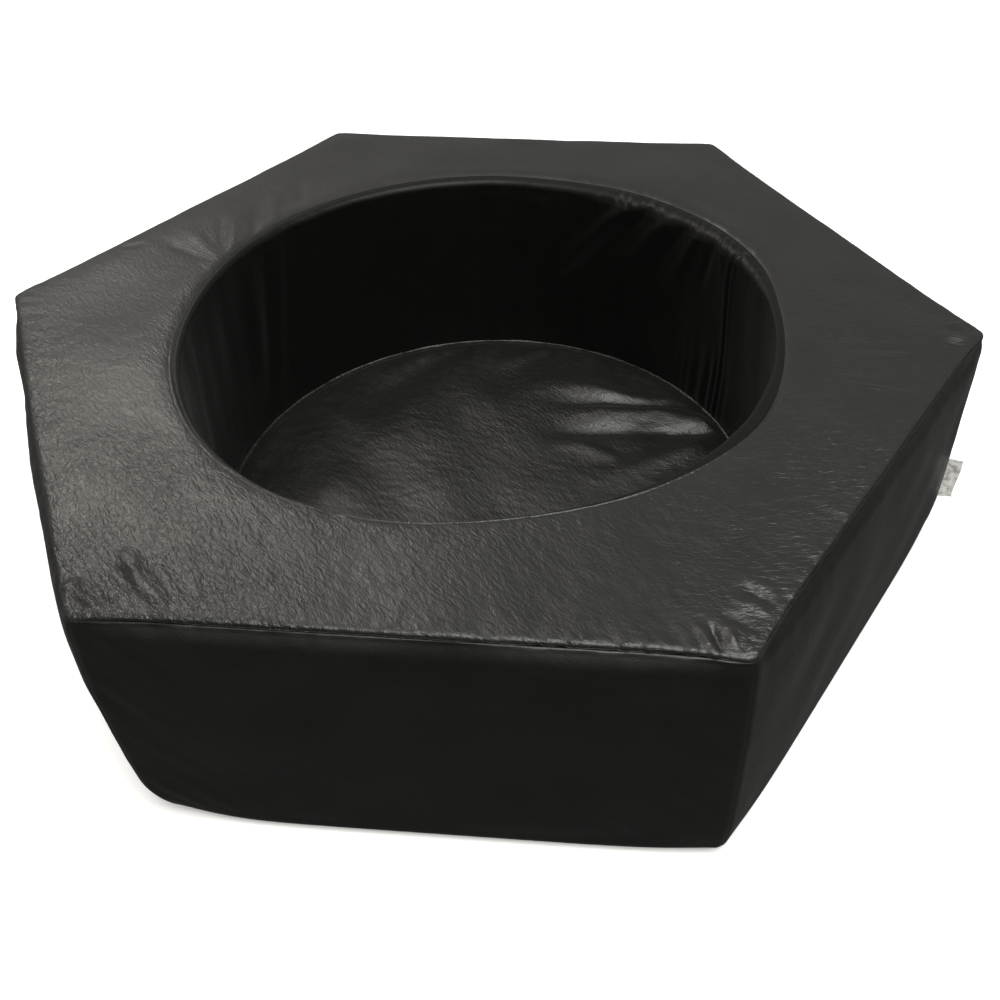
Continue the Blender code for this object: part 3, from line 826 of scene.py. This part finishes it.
def build_lining(cloth, cloth_theta, material):
    theta = np.arange(WELL_COLUMNS) * 2 * math.pi / WELL_COLUMNS
    t = np.concatenate([np.linspace(0, 0.018, 9), np.linspace(0.022, 0.14, 28), np.linspace(0.152, 1, 64)])
    points = sheet(lining_surface, theta, t)
    normal = grid_normals(points)
    field = cloth[:RIM_ROW + 1][::-1]
    out = cloth_out(field, 4, LINING_ROWS[::-1], t, (cloth_theta, theta), normal, LINING_CAP)
    wall = HEIGHT - roll_size(theta) - BED_TOP
    down = t[:, None] * (rim_seam(theta) + wall)
    up = 1 - t[:, None]
    keep = ease((down - 0.02) / 0.04) * ease(up / 0.04)
    angles = np.broadcast_to(theta, points.shape[:2])
    detail = lining_detail(angles, points[..., 2], down) * ease(down / 0.006) * ease(up / 0.03)
    points = pushed(points, normal, out * keep + detail - 0.0008 * bump(down, 0.0016))
    faces = grid_faces(len(t), WELL_COLUMNS)
    return mesh_object("cover_lining", points + CENTRE, faces, material)


# ---- bed
# Folds of the bed's cover, in the same form. Most fan out from the foot of the lining's seam.
FLOOR_FOLDS = [
    (0.31, 0.235, 0.02, 0.312, 0.046, 0.012),
    (0.4, 0.238, 0.04, 0.236, 0.022, -0.009),
    (0.43, 0.186, 0.25, 0.214, 0.034, 0.01),
    (0.345, 0.215, 0.085, 0.19, 0.04, 0.0125),
    (0.432, 0.172, 0.25, 0.15, 0.018, -0.0085),
    (0.32, 0.16, 0.05, 0.142, 0.026, -0.008),
    (0.42, 0.15, 0.25, 0.05, 0.034, 0.011),
    (0.33, 0.1, 0.14, -0.02, 0.042, 0.0075),
    (0.24, 0.06, 0.09, 0.135, 0.03, 0.0065),
    (0.435, 0.1, 0.28, -0.06, 0.02, -0.0065),
    (0.43, 0.04, 0.25, -0.16, 0.04, 0.005),
    (0.09, 0.42, -0.06, 0.33, 0.03, 0.004),
    (-0.06, 0.425, -0.2, 0.3, 0.026, -0.0035),
    (-0.16, 0.4, -0.26, 0.25, 0.03, 0.004),
    (-0.38, 0.2, -0.23, 0.12, 0.03, 0.0035),
]


def floor_height(x, y):
    """Slack folds of the vinyl over the bed."""
    r = np.hypot(x, y)
    total = 0.0024 * FLOOR_WAVES(x, y)
    for row in FLOOR_FOLDS:
        total = total + fold(x, y, *row, soft=0.45)
    total += 0.0003 * FLOOR_CRINKLE(x * 0.7 + y * 0.2, y)
    around = np.arctan2(y, x) * FLOOR_SEAM_R
    total += 0.0022 * FLOOR_EDGE(around, r * 0.3) * np.exp((r - FLOOR_SEAM_R) / 0.035)
    lift = 0.0085
    rise = ease((FLOOR_SEAM_R - r) / 0.03)
    return np.maximum(total + lift, 0.0002) * rise


def floor_edge(theta):
    """Rings of the standing edge that joins the bed's cover to the lining."""
    rings = []
    for out, height in ((0.0015, -0.0012), (0.0026, 0.0018), (0.0018, 0.0026), (0.0004, 0.0016)):
        wobble = 1 + 0.0006 * np.sin(theta * 97) + 0.0004 * np.sin(theta * 41 + 1)
        z = BED_TOP + height * (0.7 + 0.3 * np.sin(theta * 23 + 0.5) * np.sin(theta * 7))
        ring = plan_point(theta, (FLOOR_SEAM_R + out) * wobble)
        rings.append(np.concatenate([ring, z[:, None]], -1))
    return np.array(rings)


def build_floor(material):
    """The vinyl over the jump bed, sewn to the lining's foot by a standing edge."""
    columns, rows = 540, 96
    theta = np.arange(columns) * 2 * math.pi / columns
    r = FLOOR_SEAM_R * np.linspace(1, 0.01, rows)[:, None] * np.ones(columns)
    x, y = r * np.cos(theta), r * np.sin(theta)
    z = BED_TOP + 0.0004 + floor_height(x, y)
    points = np.concatenate([floor_edge(theta), np.stack([x, y, z], -1)])
    faces = grid_faces(len(points), columns)
    flat = points.reshape(-1, 3)
    last = len(flat)
    start = last - columns
    faces += [[start + j, start + (j + 1) % columns, last] for j in range(columns)]
    flat = np.concatenate([flat, [[0, 0, flat[start:, 2].mean()]]])
    return mesh_object("bed_cover", flat + CENTRE, faces, material)


# ---- materials
class Nodes:
    """A short way to write the node tree of a material, or of the world."""

    def __init__(self, name, kind="materials", shader="Principled BSDF"):
        self.material = getattr(bpy.data, kind).new(name)
        self.material.use_nodes = True
        self.tree = self.material.node_tree
        self.shader = self.tree.nodes[shader]

    def feed(self, node, key, value):
        """Links a socket to a node's input, or sets the input's own value."""
        if isinstance(value, bpy.types.NodeSocket):
            self.tree.links.new(value, node.inputs[key])
        else:
            node.inputs[key].default_value = value

    def add(self, kind, inputs=None, **settings):
        node = self.tree.nodes.new(kind)
        for key, value in settings.items():
            setattr(node, key, value)
        for key, value in (inputs or {}).items():
            self.feed(node, key, value)
        return node

    def math(self, operation, a, b=0.0):
        return self.add("ShaderNodeMath", {0: a, 1: b}, operation=operation).outputs[0]

    def set(self, key, value):
        self.feed(self.shader, key, value)

    def place(self, stretch=(1, 1, 1), degrees=0.0):
        """Object coordinates in metres. A pattern on them is longer along the given direction."""
        at = self.add("ShaderNodeTexCoord").outputs["Object"]
        inputs = {"Vector": at, "Scale": stretch, "Rotation": (0, 0, math.radians(degrees))}
        return self.add("ShaderNodeMapping", inputs, vector_type="TEXTURE").outputs[0]

    def noise(self, vector, scale, detail=3.0, roughness=0.55, distortion=0.0):
        inputs = {"Vector": vector, "Scale": scale, "Detail": detail, "Roughness": roughness,
                  "Distortion": distortion}
        return self.add("ShaderNodeTexNoise", inputs).outputs["Fac"]

    def ramp(self, value, low, high, start=0.0, end=1.0):
        inputs = {"Value": value, "From Min": low, "From Max": high, "To Min": start, "To Max": end}
        return self.add("ShaderNodeMapRange", inputs).outputs["Result"]

    def mix(self, share, a, b):
        return self.add("ShaderNodeMix", {0: share, 6: a, 7: b}, data_type="RGBA").outputs[2]

    def wave(self, vector, scale, direction, distortion=0.0):
        inputs = {"Vector": vector, "Scale": scale, "Distortion": distortion}
        return self.add("ShaderNodeTexWave", inputs, bands_direction=direction).outputs["Fac"]

    def bump(self, height, distance, strength=1.0, under=None):
        inputs = {"Height": height, "Distance": distance, "Strength": strength}
        if under is not None:
            inputs["Normal"] = under
        return self.add("ShaderNodeBump", inputs).outputs["Normal"]

    def finish(self, pattern, dark, light, depth, roughness, height=None):
        """The material of a surface with one pattern, which its bump follows too if height isn't given."""
        self.set("Normal", self.bump(pattern if height is None else height, depth))
        self.set("Base Color", self.mix(pattern, (*dark, 1), (*light, 1)))
        self.set("Roughness", roughness)
        return self.material


VINYL_TINTS = ((0.0048, 0.0048, 0.0042), (0.0075, 0.0074, 0.0064))


def vinyl_material(name, crumple, roughness, even=False, specular=0.5, shade=1.0):
    """Soft upholstery vinyl: fine leather grain under crumpled creases; a shade factor below 1 darkens its
    colour as painted shade.
    """
    n = Nodes(name)
    at = n.place()
    split = n.add("ShaderNodeSeparateXYZ", {"Vector": at}).outputs
    left = n.place((2.3, 1.0, 1.0), -46)
    right = n.place((2.6, 1.0, 1.0), 4)
    short = n.noise(left, 185.0, 2.5, 0.6, 0.4)
    long = n.noise(right, 150.0, 2.5, 0.6, 0.4)
    side = n.ramp(split["X"], 0.05, 0.45)
    fine = n.add("ShaderNodeMix", {0: side, 2: short, 3: long}).outputs[0]
    broad = n.noise(left, 42.0, 2.0, 0.5, 0.4)
    height = n.math("ADD", fine, n.math("MULTIPLY", broad, 0.55))
    if not even:
        nearer = n.ramp(split["Y"], 0.35, -0.6, 0.14, 1.45)
        patches = n.ramp(n.noise(at, 7.0, 2.0), 0.32, 0.68, 0.45, 1.15)
        height = n.math("MULTIPLY", height, n.math("MULTIPLY", nearer, patches))
    first = n.bump(height, crumple)
    cells = n.add("ShaderNodeTexVoronoi", {"Vector": at, "Scale": 620.0},
                  feature="SMOOTH_F1").outputs["Distance"]
    n.set("Normal", n.bump(cells, 0.0003, 0.8, first))
    tone = n.noise(at, 11.0, 5.0, 0.6)
    # Painted shade: both tints are multiplied by shade, which is below 1 for the lining and the side bands
    # and darkens them as if they lay in shadow.
    dark, light = [(*(c * shade for c in tint), 1) for tint in VINYL_TINTS]
    n.set("Base Color", n.mix(n.ramp(tone, 0.3, 0.7), dark, light))
    scuff = n.noise(at, 70.0, 4.0, 0.6)
    n.set("Roughness", n.ramp(scuff, 0.25, 0.8, roughness - 0.04, roughness + 0.06))
    n.set("Specular IOR Level", specular)
    n.set("Sheen Weight", 0.03)
    n.set("Sheen Roughness", 0.45)
    return n.material


def mat_material():
    """Woven polypropylene of the jump mat."""
    n = Nodes("jump_mat_weave")
    at = n.place()
    weave = n.math("MULTIPLY", n.wave(at, 160.0, "X", 0.4), n.wave(at, 160.0, "Y", 0.4))
    return n.finish(weave, (0.01, 0.01, 0.011), (0.03, 0.03, 0.033), 0.0006, 0.62)


def metal_material(name, colour, roughness, metallic, brushed=0.0):
    n = Nodes(name)
    spots = n.noise(n.place(), 240.0, 4.0)
    dark = (*(c * 0.8 for c in colour), 1)
    n.set("Base Color", n.mix(n.ramp(spots, 0.35, 0.7), dark, (*colour, 1)))
    n.set("Roughness", n.ramp(spots, 0.0, 1.0, roughness - 0.06, roughness + 0.1))
    n.set("Metallic", metallic)
    n.set("Normal", n.bump(spots, 0.0001 + brushed))
    return n.material


def foam_material():
    n = Nodes("foam_cells")
    at = n.place()
    cells = n.add("ShaderNodeTexVoronoi", {"Vector": at, "Scale": 650.0}).outputs["Distance"]
    height = n.math("ADD", cells, n.math("MULTIPLY", n.noise(at, 120.0, 3.0), 0.6))
    return n.finish(cells, (0.66, 0.67, 0.61), (0.42, 0.43, 0.38), 0.0008, 0.95, height)


def rubber_material():
    n = Nodes("foot_rubber_grain")
    specks = n.noise(n.place(), 380.0, 4.0)
    return n.finish(specks, (0.018, 0.018, 0.018), (0.034, 0.034, 0.033), 0.0003, 0.78)


def tape_material():
    n = Nodes("zip_tape_weave")
    ribs = n.wave(n.place(), 220.0, "X")
    return n.finish(ribs, (0.01, 0.01, 0.01), (0.028, 0.028, 0.028), 0.0003, 0.8)


def thread_material():
    """Twisted polyester thread."""
    n = Nodes("thread_twist")
    twist = n.wave(n.place(), 900.0, "DIAGONAL")
    return n.finish(twist, (0.012, 0.012, 0.011), (0.035, 0.034, 0.031), 0.0001, 0.5)


def label_material():
    """Plain satin ribbon, a little soiled, in a grey that is partly painted shade of its folds."""
    n = Nodes("label_satin_weave")
    soil = n.ramp(n.noise(n.place(), 120.0, 4.0), 0.45, 0.62)
    weave = n.noise(n.place((1, 1, 3)), 900.0, 2.0)
    n.set("Sheen Weight", 0.3)
    # Both colours are far greyer than white satin, as painted shade of the folded ribbon. The soil pattern
    # adds dark speckles over it.
    return n.finish(soil, (0.42, 0.42, 0.4), (0.2, 0.2, 0.18), 0.0002, 0.38, weave)


# ---- hidden works
FOAM_ROOM = 0.01  # how far the foam bodies stay inside the cover's faces


def drawn_in(points):
    """Foam corners moved inwards from the faces that the cover lies on."""
    x, y, z = points.T
    theta = np.arctan2(y, x)
    from_middle = theta % SIDE_ANGLE - HALF_SIDE
    r = np.hypot(x, y)
    hexed = r * np.cos(from_middle)
    outer = hexed > APOTHEM - 0.05
    bore = r < WELL_R + CAD_ROLL + 0.006
    scale = np.where(outer, 1 - FOAM_ROOM / APOTHEM, 1.0)
    room = FOAM_ROOM * 0.7 + np.maximum(edge_shift(theta), 0)
    scale = np.where(bore & (z > BED_TOP), 1 + room / np.maximum(r, 0.1), scale)
    height = np.where(z > HEIGHT - 0.02, z - FOAM_ROOM, z)
    return warped(np.stack([x * scale, y * scale, height], -1))


def build_foam(material):
    """Rounded foam bodies in the places of the CAD foam."""
    for node, obj in sorted(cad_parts.items()):
        if not node.startswith("foam_"):
            continue
        copy = placed(node.replace("foam", "foam_body"), obj.data.copy())
        points = np.array([tuple(v.co) for v in copy.data.vertices]) - CENTRE
        copy.data.vertices.foreach_set("co", (drawn_in(points) + CENTRE).ravel())
        copy.modifiers.new("Weld", "WELD").merge_threshold = 0.00005
        bevel = copy.modifiers.new("Bevel", "BEVEL")
        bevel.width = 0.008
        bevel.segments = 3
        bevel.limit_method = "ANGLE"
        bevel.angle_limit = math.radians(50)
        copy.data.materials.clear()
        copy.data.materials.append(material)
        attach(copy, "surround")
        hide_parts(node)


SPRING_TURNS = 17
TURN_POINTS = 10
WIRE_R = 0.0008
COIL_R = 0.0037
HOOK_R = 0.0026
HOOK_LENGTH = 0.0085


def hook(middle, start, end):
    """The points of a spring's hook, between two angles round its middle."""
    turn = np.linspace(start, end, 9)
    return np.stack([middle - HOOK_R * np.cos(turn), np.zeros(9), -HOOK_R * np.sin(turn)], -1)


def coil_points(inner, outer):
    """A spring along +X from inner to outer: a hook, the coil and a hook."""
    low, high = inner + HOOK_LENGTH, outer - HOOK_LENGTH
    place = np.arange(SPRING_TURNS * TURN_POINTS + 1)
    share = place / place[-1]
    turn = 2 * math.pi * place / TURN_POINTS
    swell = COIL_R * np.minimum(1.0, 0.45 + 4 * np.minimum(share, 1 - share))
    coil = np.stack([low + share * (high - low), swell * np.cos(turn), swell * np.sin(turn)], -1)
    far = hook(0, -1.6, 2.2) * (-1, 1, -1) + (outer - 0.0012, 0, 0)
    near = hook(inner + 0.0012, -2.2, 1.6)
    return np.concatenate([near, [(low - 0.002, 0, 0)], coil, [(high + 0.002, 0, 0)], far])


def wire_object(name, points, radius, material):
    """A round wire as a closed mesh."""
    data = bpy.data.curves.new(name, "CURVE")
    data.dimensions = "3D"
    data.bevel_depth = radius
    data.bevel_resolution = 1
    data.use_fill_caps = True
    spline = data.splines.new("POLY")
    spline.points.add(len(points) - 1)
    for target, point in zip(spline.points, points):
        target.co = (*point, 1)
    curve = placed(name, data)
    bpy.context.view_layer.update()
    graph = bpy.context.evaluated_depsgraph_get()
    mesh = bpy.data.meshes.new_from_object(curve.evaluated_get(graph))
    bpy.data.objects.remove(curve)
    mesh.name = name
    mesh.shade_smooth()
    mesh.materials.clear()
    mesh.materials.append(material)
    return placed(name, mesh)


def build_springs(material):
    for node in sorted(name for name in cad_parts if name.startswith("spring_")):
        low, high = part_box(node)
        middle = (low + high) / 2 - Vector(CENTRE)
        angle = math.atan2(middle.y, middle.x)
        c, s = math.cos(angle), math.sin(angle)
        half = math.hypot(high.x - low.x, high.y - low.y) / 2
        r = math.hypot(middle.x, middle.y)
        inner, outer = r - half + 0.001, r + half - 0.001
        x, y, z = coil_points(inner, outer).T
        points = np.stack([x * c - y * s, x * s + y * c, middle.z + z], -1) + CENTRE
        coil = wire_object(f"coil_{node}", points, WIRE_R, material)
        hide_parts(node)
        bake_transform(coil)


def build_label(material):
    """A satin ribbon folded in two, sewn by both ends and a little open."""
    low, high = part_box("care_label")
    length = high.x - low.x - 0.0018
    fold_r = 0.001
    share = np.concatenate([np.linspace(0, 1, 26), np.ones(7), np.linspace(1, 0, 26)])
    turn = np.concatenate([np.full(26, -1.0), np.linspace(-1, 1, 9)[1:-1], np.full(26, 1.0)])
    x = low.x + 0.0006 + share * length + fold_r * np.cos(turn * math.pi / 2) * (share == 1)
    gape = 0.0003 + (fold_r - 0.0003) * ease(share / 0.6)
    z = np.linspace(low.z, high.z, 36)[:, None]
    up = (z - low.z) / (high.z - low.z)
    y = gape * np.sin(turn * math.pi / 2) + 0.003 * np.sin(up * 5.2 + 0.6) * share ** 2
    droop = -0.0022 * share ** 1.5 + 0.0012 * np.sin(share * 7) * (up - 0.5)
    points = np.stack([np.broadcast_to(x, y.shape), y, z + droop], -1)
    obj = mesh_object("satin_label", points, grid_faces(36, len(x), closed=False), material)
    solid = obj.modifiers.new("Solidify", "SOLIDIFY")
    solid.thickness = 0.00025
    solid.offset = 0.0
    return obj


STITCH_PITCH = 0.0034
STITCH_LENGTH = 0.0024
STITCH_R = 0.00032


def stitches(name, line, normals, material):
    """Short threads end to end along a closed line that lies on the cover."""
    closed = np.concatenate([line, line[:1]])
    out = np.concatenate([normals, normals[:1]])
    along = np.concatenate([[0], np.cumsum(np.linalg.norm(np.diff(closed, axis=0), axis=1))])
    count = int(along[-1] / STITCH_PITCH)
    rings = np.array([(-0.5, 0.35), (-0.36, 1.0), (0.36, 1.0), (0.5, 0.35)])
    middle = (np.arange(count) + 0.5) * along[-1] / count
    places = (middle[:, None] + rings[:, 0] * STITCH_LENGTH) % along[-1]
    centre = np.stack([np.interp(places, along, closed[:, k]) for k in range(3)], -1)
    up = np.stack([np.interp(places, along, out[:, k]) for k in range(3)], -1)
    run = centre[:, -1:] - centre[:, :1]
    run = run / np.linalg.norm(run, axis=-1, keepdims=True)
    side = np.cross(up, run)
    turn = np.arange(6) * math.pi / 3
    spokes = up[:, :, None] * np.sin(turn)[:, None] + side[:, :, None] * np.cos(turn)[:, None]
    points = centre[:, :, None] + spokes * (rings[:, 1] * STITCH_R)[:, None, None]
    firsts = (np.arange(count) * points[0, ..., 0].size)[:, None, None]
    faces = (np.array(grid_faces(4, 6)) + firsts).reshape(-1, 4).tolist()
    ends = np.array([np.arange(6)[::-1], np.arange(18, 24)])
    faces += (ends + firsts).reshape(-1, 6).tolist()
    return mesh_object(name, points, faces, material)


def row_of(obj, row, columns):
    """Points and outward normals of one row of a cover piece's grid."""
    vertices = [obj.data.vertices[row * columns + k] for k in range(columns)]
    return np.array([v.co for v in vertices]), np.array([v.normal for v in vertices])


def sew_seams(top, material):
    """Threads along the top panel's outer edge."""
    rows = len(top.data.vertices) // COLUMNS
    points, normals = row_of(top, rows - 6, COLUMNS)
    thread = stitches("edge_thread", points + normals * 0.0002, normals, material)
    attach(thread, "surround")


# ---- stage
def add_camera():
    camera = bpy.data.cameras.new("camera")
    camera.sensor_width = 36.0
    camera.lens = 38.18
    camera.shift_x = -0.0323
    camera.shift_y = -0.0215
    obj = placed("camera", camera)
    place = Vector((0.2794, -1.8318, 1.1609)) * CORNER_R
    obj.location = place + Vector((CENTRE[0], 0, HEIGHT))
    forward = Vector((-0.0746, 0.75164, -0.65534)).normalized()
    right = Vector((0.99591, 0.08977, -0.01041))
    right = (right - forward * right.dot(forward)).normalized()
    up = right.cross(forward)
    obj.rotation_euler = Matrix((right, up, -forward)).transposed().to_euler()
    bpy.context.scene.camera = obj


# Lights: (name, place, target, width, power, colour)
LIGHTS = [
    ("key", (-1.65, 1.95, 3.15), (-0.1, 0, 0.2), 1.5, 17, (1.0, 0.96, 0.9)),
    ("sheen", (-1.62, 1.16, 2.36), (-0.35, -0.6, 0.385), 0.8, 17, (1.0, 0.94, 0.86)),
    ("overhead", (0.9, -1.6, 4.2), (0, 0, 0), 3.6, 262, (1.0, 0.985, 0.955)),
]
FLOOR_HALF = 14.0
DIFFUSE_SKY = 1.05  # the sky's strength on matt surfaces
CAMERA_SKY = 1.0  # and as the backdrop
# The pale band on the horizon that glossy surfaces show: (height, strength)
SKY_BAND = ((0.03, 0.0), (0.07, 0.48), (0.18, 0.48), (0.3, 0.0))


def add_area(name, place, target, width, power, colour):
    light = bpy.data.lights.new(name, "AREA")
    light.shape = "SQUARE"
    light.size = width
    light.energy = power
    light.color = colour
    obj = placed(name, light)
    obj.location = place
    obj.rotation_euler = (Vector(target) - Vector(place)).to_track_quat("-Z", "Y").to_euler()


def add_floor():
    n = Nodes("floor")
    n.set("Base Color", (0.86, 0.86, 0.86, 1))
    n.set("Roughness", 0.9)
    n.set("Specular IOR Level", 0.0)
    corners = np.array([(-1, -1, 0), (1, -1, 0), (1, 1, 0), (-1, 1, 0)]) * FLOOR_HALF
    floor = mesh_object("floor", corners, [(0, 1, 2, 3)], n.material)
    floor.location.z = -0.0006
    floor.visible_glossy = False


def add_sky():
    """A plain soft sky, dark below a pale band on the horizon, with a white backdrop."""
    n = Nodes("world", "worlds", "Background")
    bpy.context.scene.world = n.material
    at = n.add("ShaderNodeTexCoord").outputs["Generated"]
    up = n.add("ShaderNodeSeparateXYZ", {0: at}).outputs["Z"]
    band = n.add("ShaderNodeValToRGB", {0: up})
    ramp = band.color_ramp
    ramp.interpolation = "EASE"
    for place, level in SKY_BAND:
        ramp.elements.new(place).color = (level, level, level, 1)
    ramp.elements.remove(ramp.elements[-1])
    ramp.elements.remove(ramp.elements[0])
    mirrored = n.math("ADD", n.ramp(up, 0.05, 1.0, 0.015, 0.62), band.outputs["Color"])
    ray = n.add("ShaderNodeLightPath").outputs
    soft = n.add("ShaderNodeMix", {0: ray["Is Diffuse Ray"], 2: mirrored, 3: DIFFUSE_SKY}).outputs[0]
    seen = n.add("ShaderNodeMix", {0: ray["Is Camera Ray"], 2: soft, 3: CAMERA_SKY}).outputs[0]
    n.set("Color", (1.0, 0.99, 0.96, 1))
    n.set("Strength", seen)


def add_stage():
    add_floor()
    add_sky()
    for light in LIGHTS:
        add_area(*light)
    view = bpy.context.scene.view_settings
    view.view_transform = "Standard"
    view.look = "None"


# ---- the whole scene
def assign(node, material):
    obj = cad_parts[node]
    if not obj.data.materials:
        obj.data.materials.append(material)
    for slot in obj.material_slots:
        slot.material = material


def surround_cover(cloth, cloth_theta, side_vinyl_painted_shade):
    """The top panel and the side bands. Returns the top."""
    vinyl = vinyl_material("vinyl_top", 0.0019, 0.36)
    top = build_top(cloth, cloth_theta, vinyl)
    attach(top, "surround")
    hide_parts("top_panel")
    for i, side in enumerate(build_sides(cloth, cloth_theta, side_vinyl_painted_shade)):
        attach(side, "surround")
        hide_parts(f"side_panel_{i + 1}")
    return top


def well_cover(cloth, cloth_theta):
    """The lining, whose foot meets the bed, and the bed's cover."""
    # Painted shade: the lining's colour is a quarter of the top's, standing in for the shadow inside the
    # well.
    vinyl = vinyl_material("vinyl_lining_painted_shade", 0.0004, 0.4, even=True, specular=0.18, shade=0.25)
    lining = build_lining(cloth, cloth_theta, vinyl)
    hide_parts("well_lining")
    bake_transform(lining)
    floor = build_floor(vinyl_material("vinyl_bed", 0.0017, 0.37, even=True))
    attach(floor, "bed")
    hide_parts("well_floor")


def label_flag():
    label = build_label(label_material())
    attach(label, "care_label")
    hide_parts("care_label")


def hidden_works(side_vinyl_painted_shade):
    """The foam and the springs, and the materials of the CAD nodes that stay."""
    build_foam(foam_material())
    build_springs(metal_material("spring_wire", (0.62, 0.63, 0.64), 0.26, 1.0))
    powder = metal_material("powder_coat", (0.03, 0.03, 0.032), 0.42, 0.0, 0.0001)
    zinc = metal_material("zinc_plate", (0.5, 0.51, 0.52), 0.3, 1.0)
    rubber = rubber_material()
    for i in range(3):
        assign(f"frame_arc_{i + 1}", powder)
        assign(f"frame_sleeve_{i + 1}", zinc)
    for i in range(SIDES):
        assign(f"rubber_foot_{i + 1}", rubber)
    assign("jump_mat", mat_material())
    assign("base_panel", side_vinyl_painted_shade)
    assign("zip_tape", tape_material())
    blacked = metal_material("zip_black", (0.06, 0.06, 0.06), 0.35, 1.0)
    for node in ("zip_teeth", "zip_slider", "zip_pull"):
        assign(node, blacked)


def main():
    add_camera()
    cloth, cloth_theta = simulate_cover()
    # Painted shade: the side bands and the base panel get half the top's colour, standing in for the sides
    # that face away from the lights.
    side_vinyl_painted_shade = vinyl_material("vinyl_side_painted_shade", 0.0003, 0.42, even=True, specular=0.5, shade=0.5)
    top = surround_cover(cloth, cloth_theta, side_vinyl_painted_shade)
    well_cover(cloth, cloth_theta)
    hidden_works(side_vinyl_painted_shade)
    label_flag()
    sew_seams(top, thread_material())
    add_stage()


main()
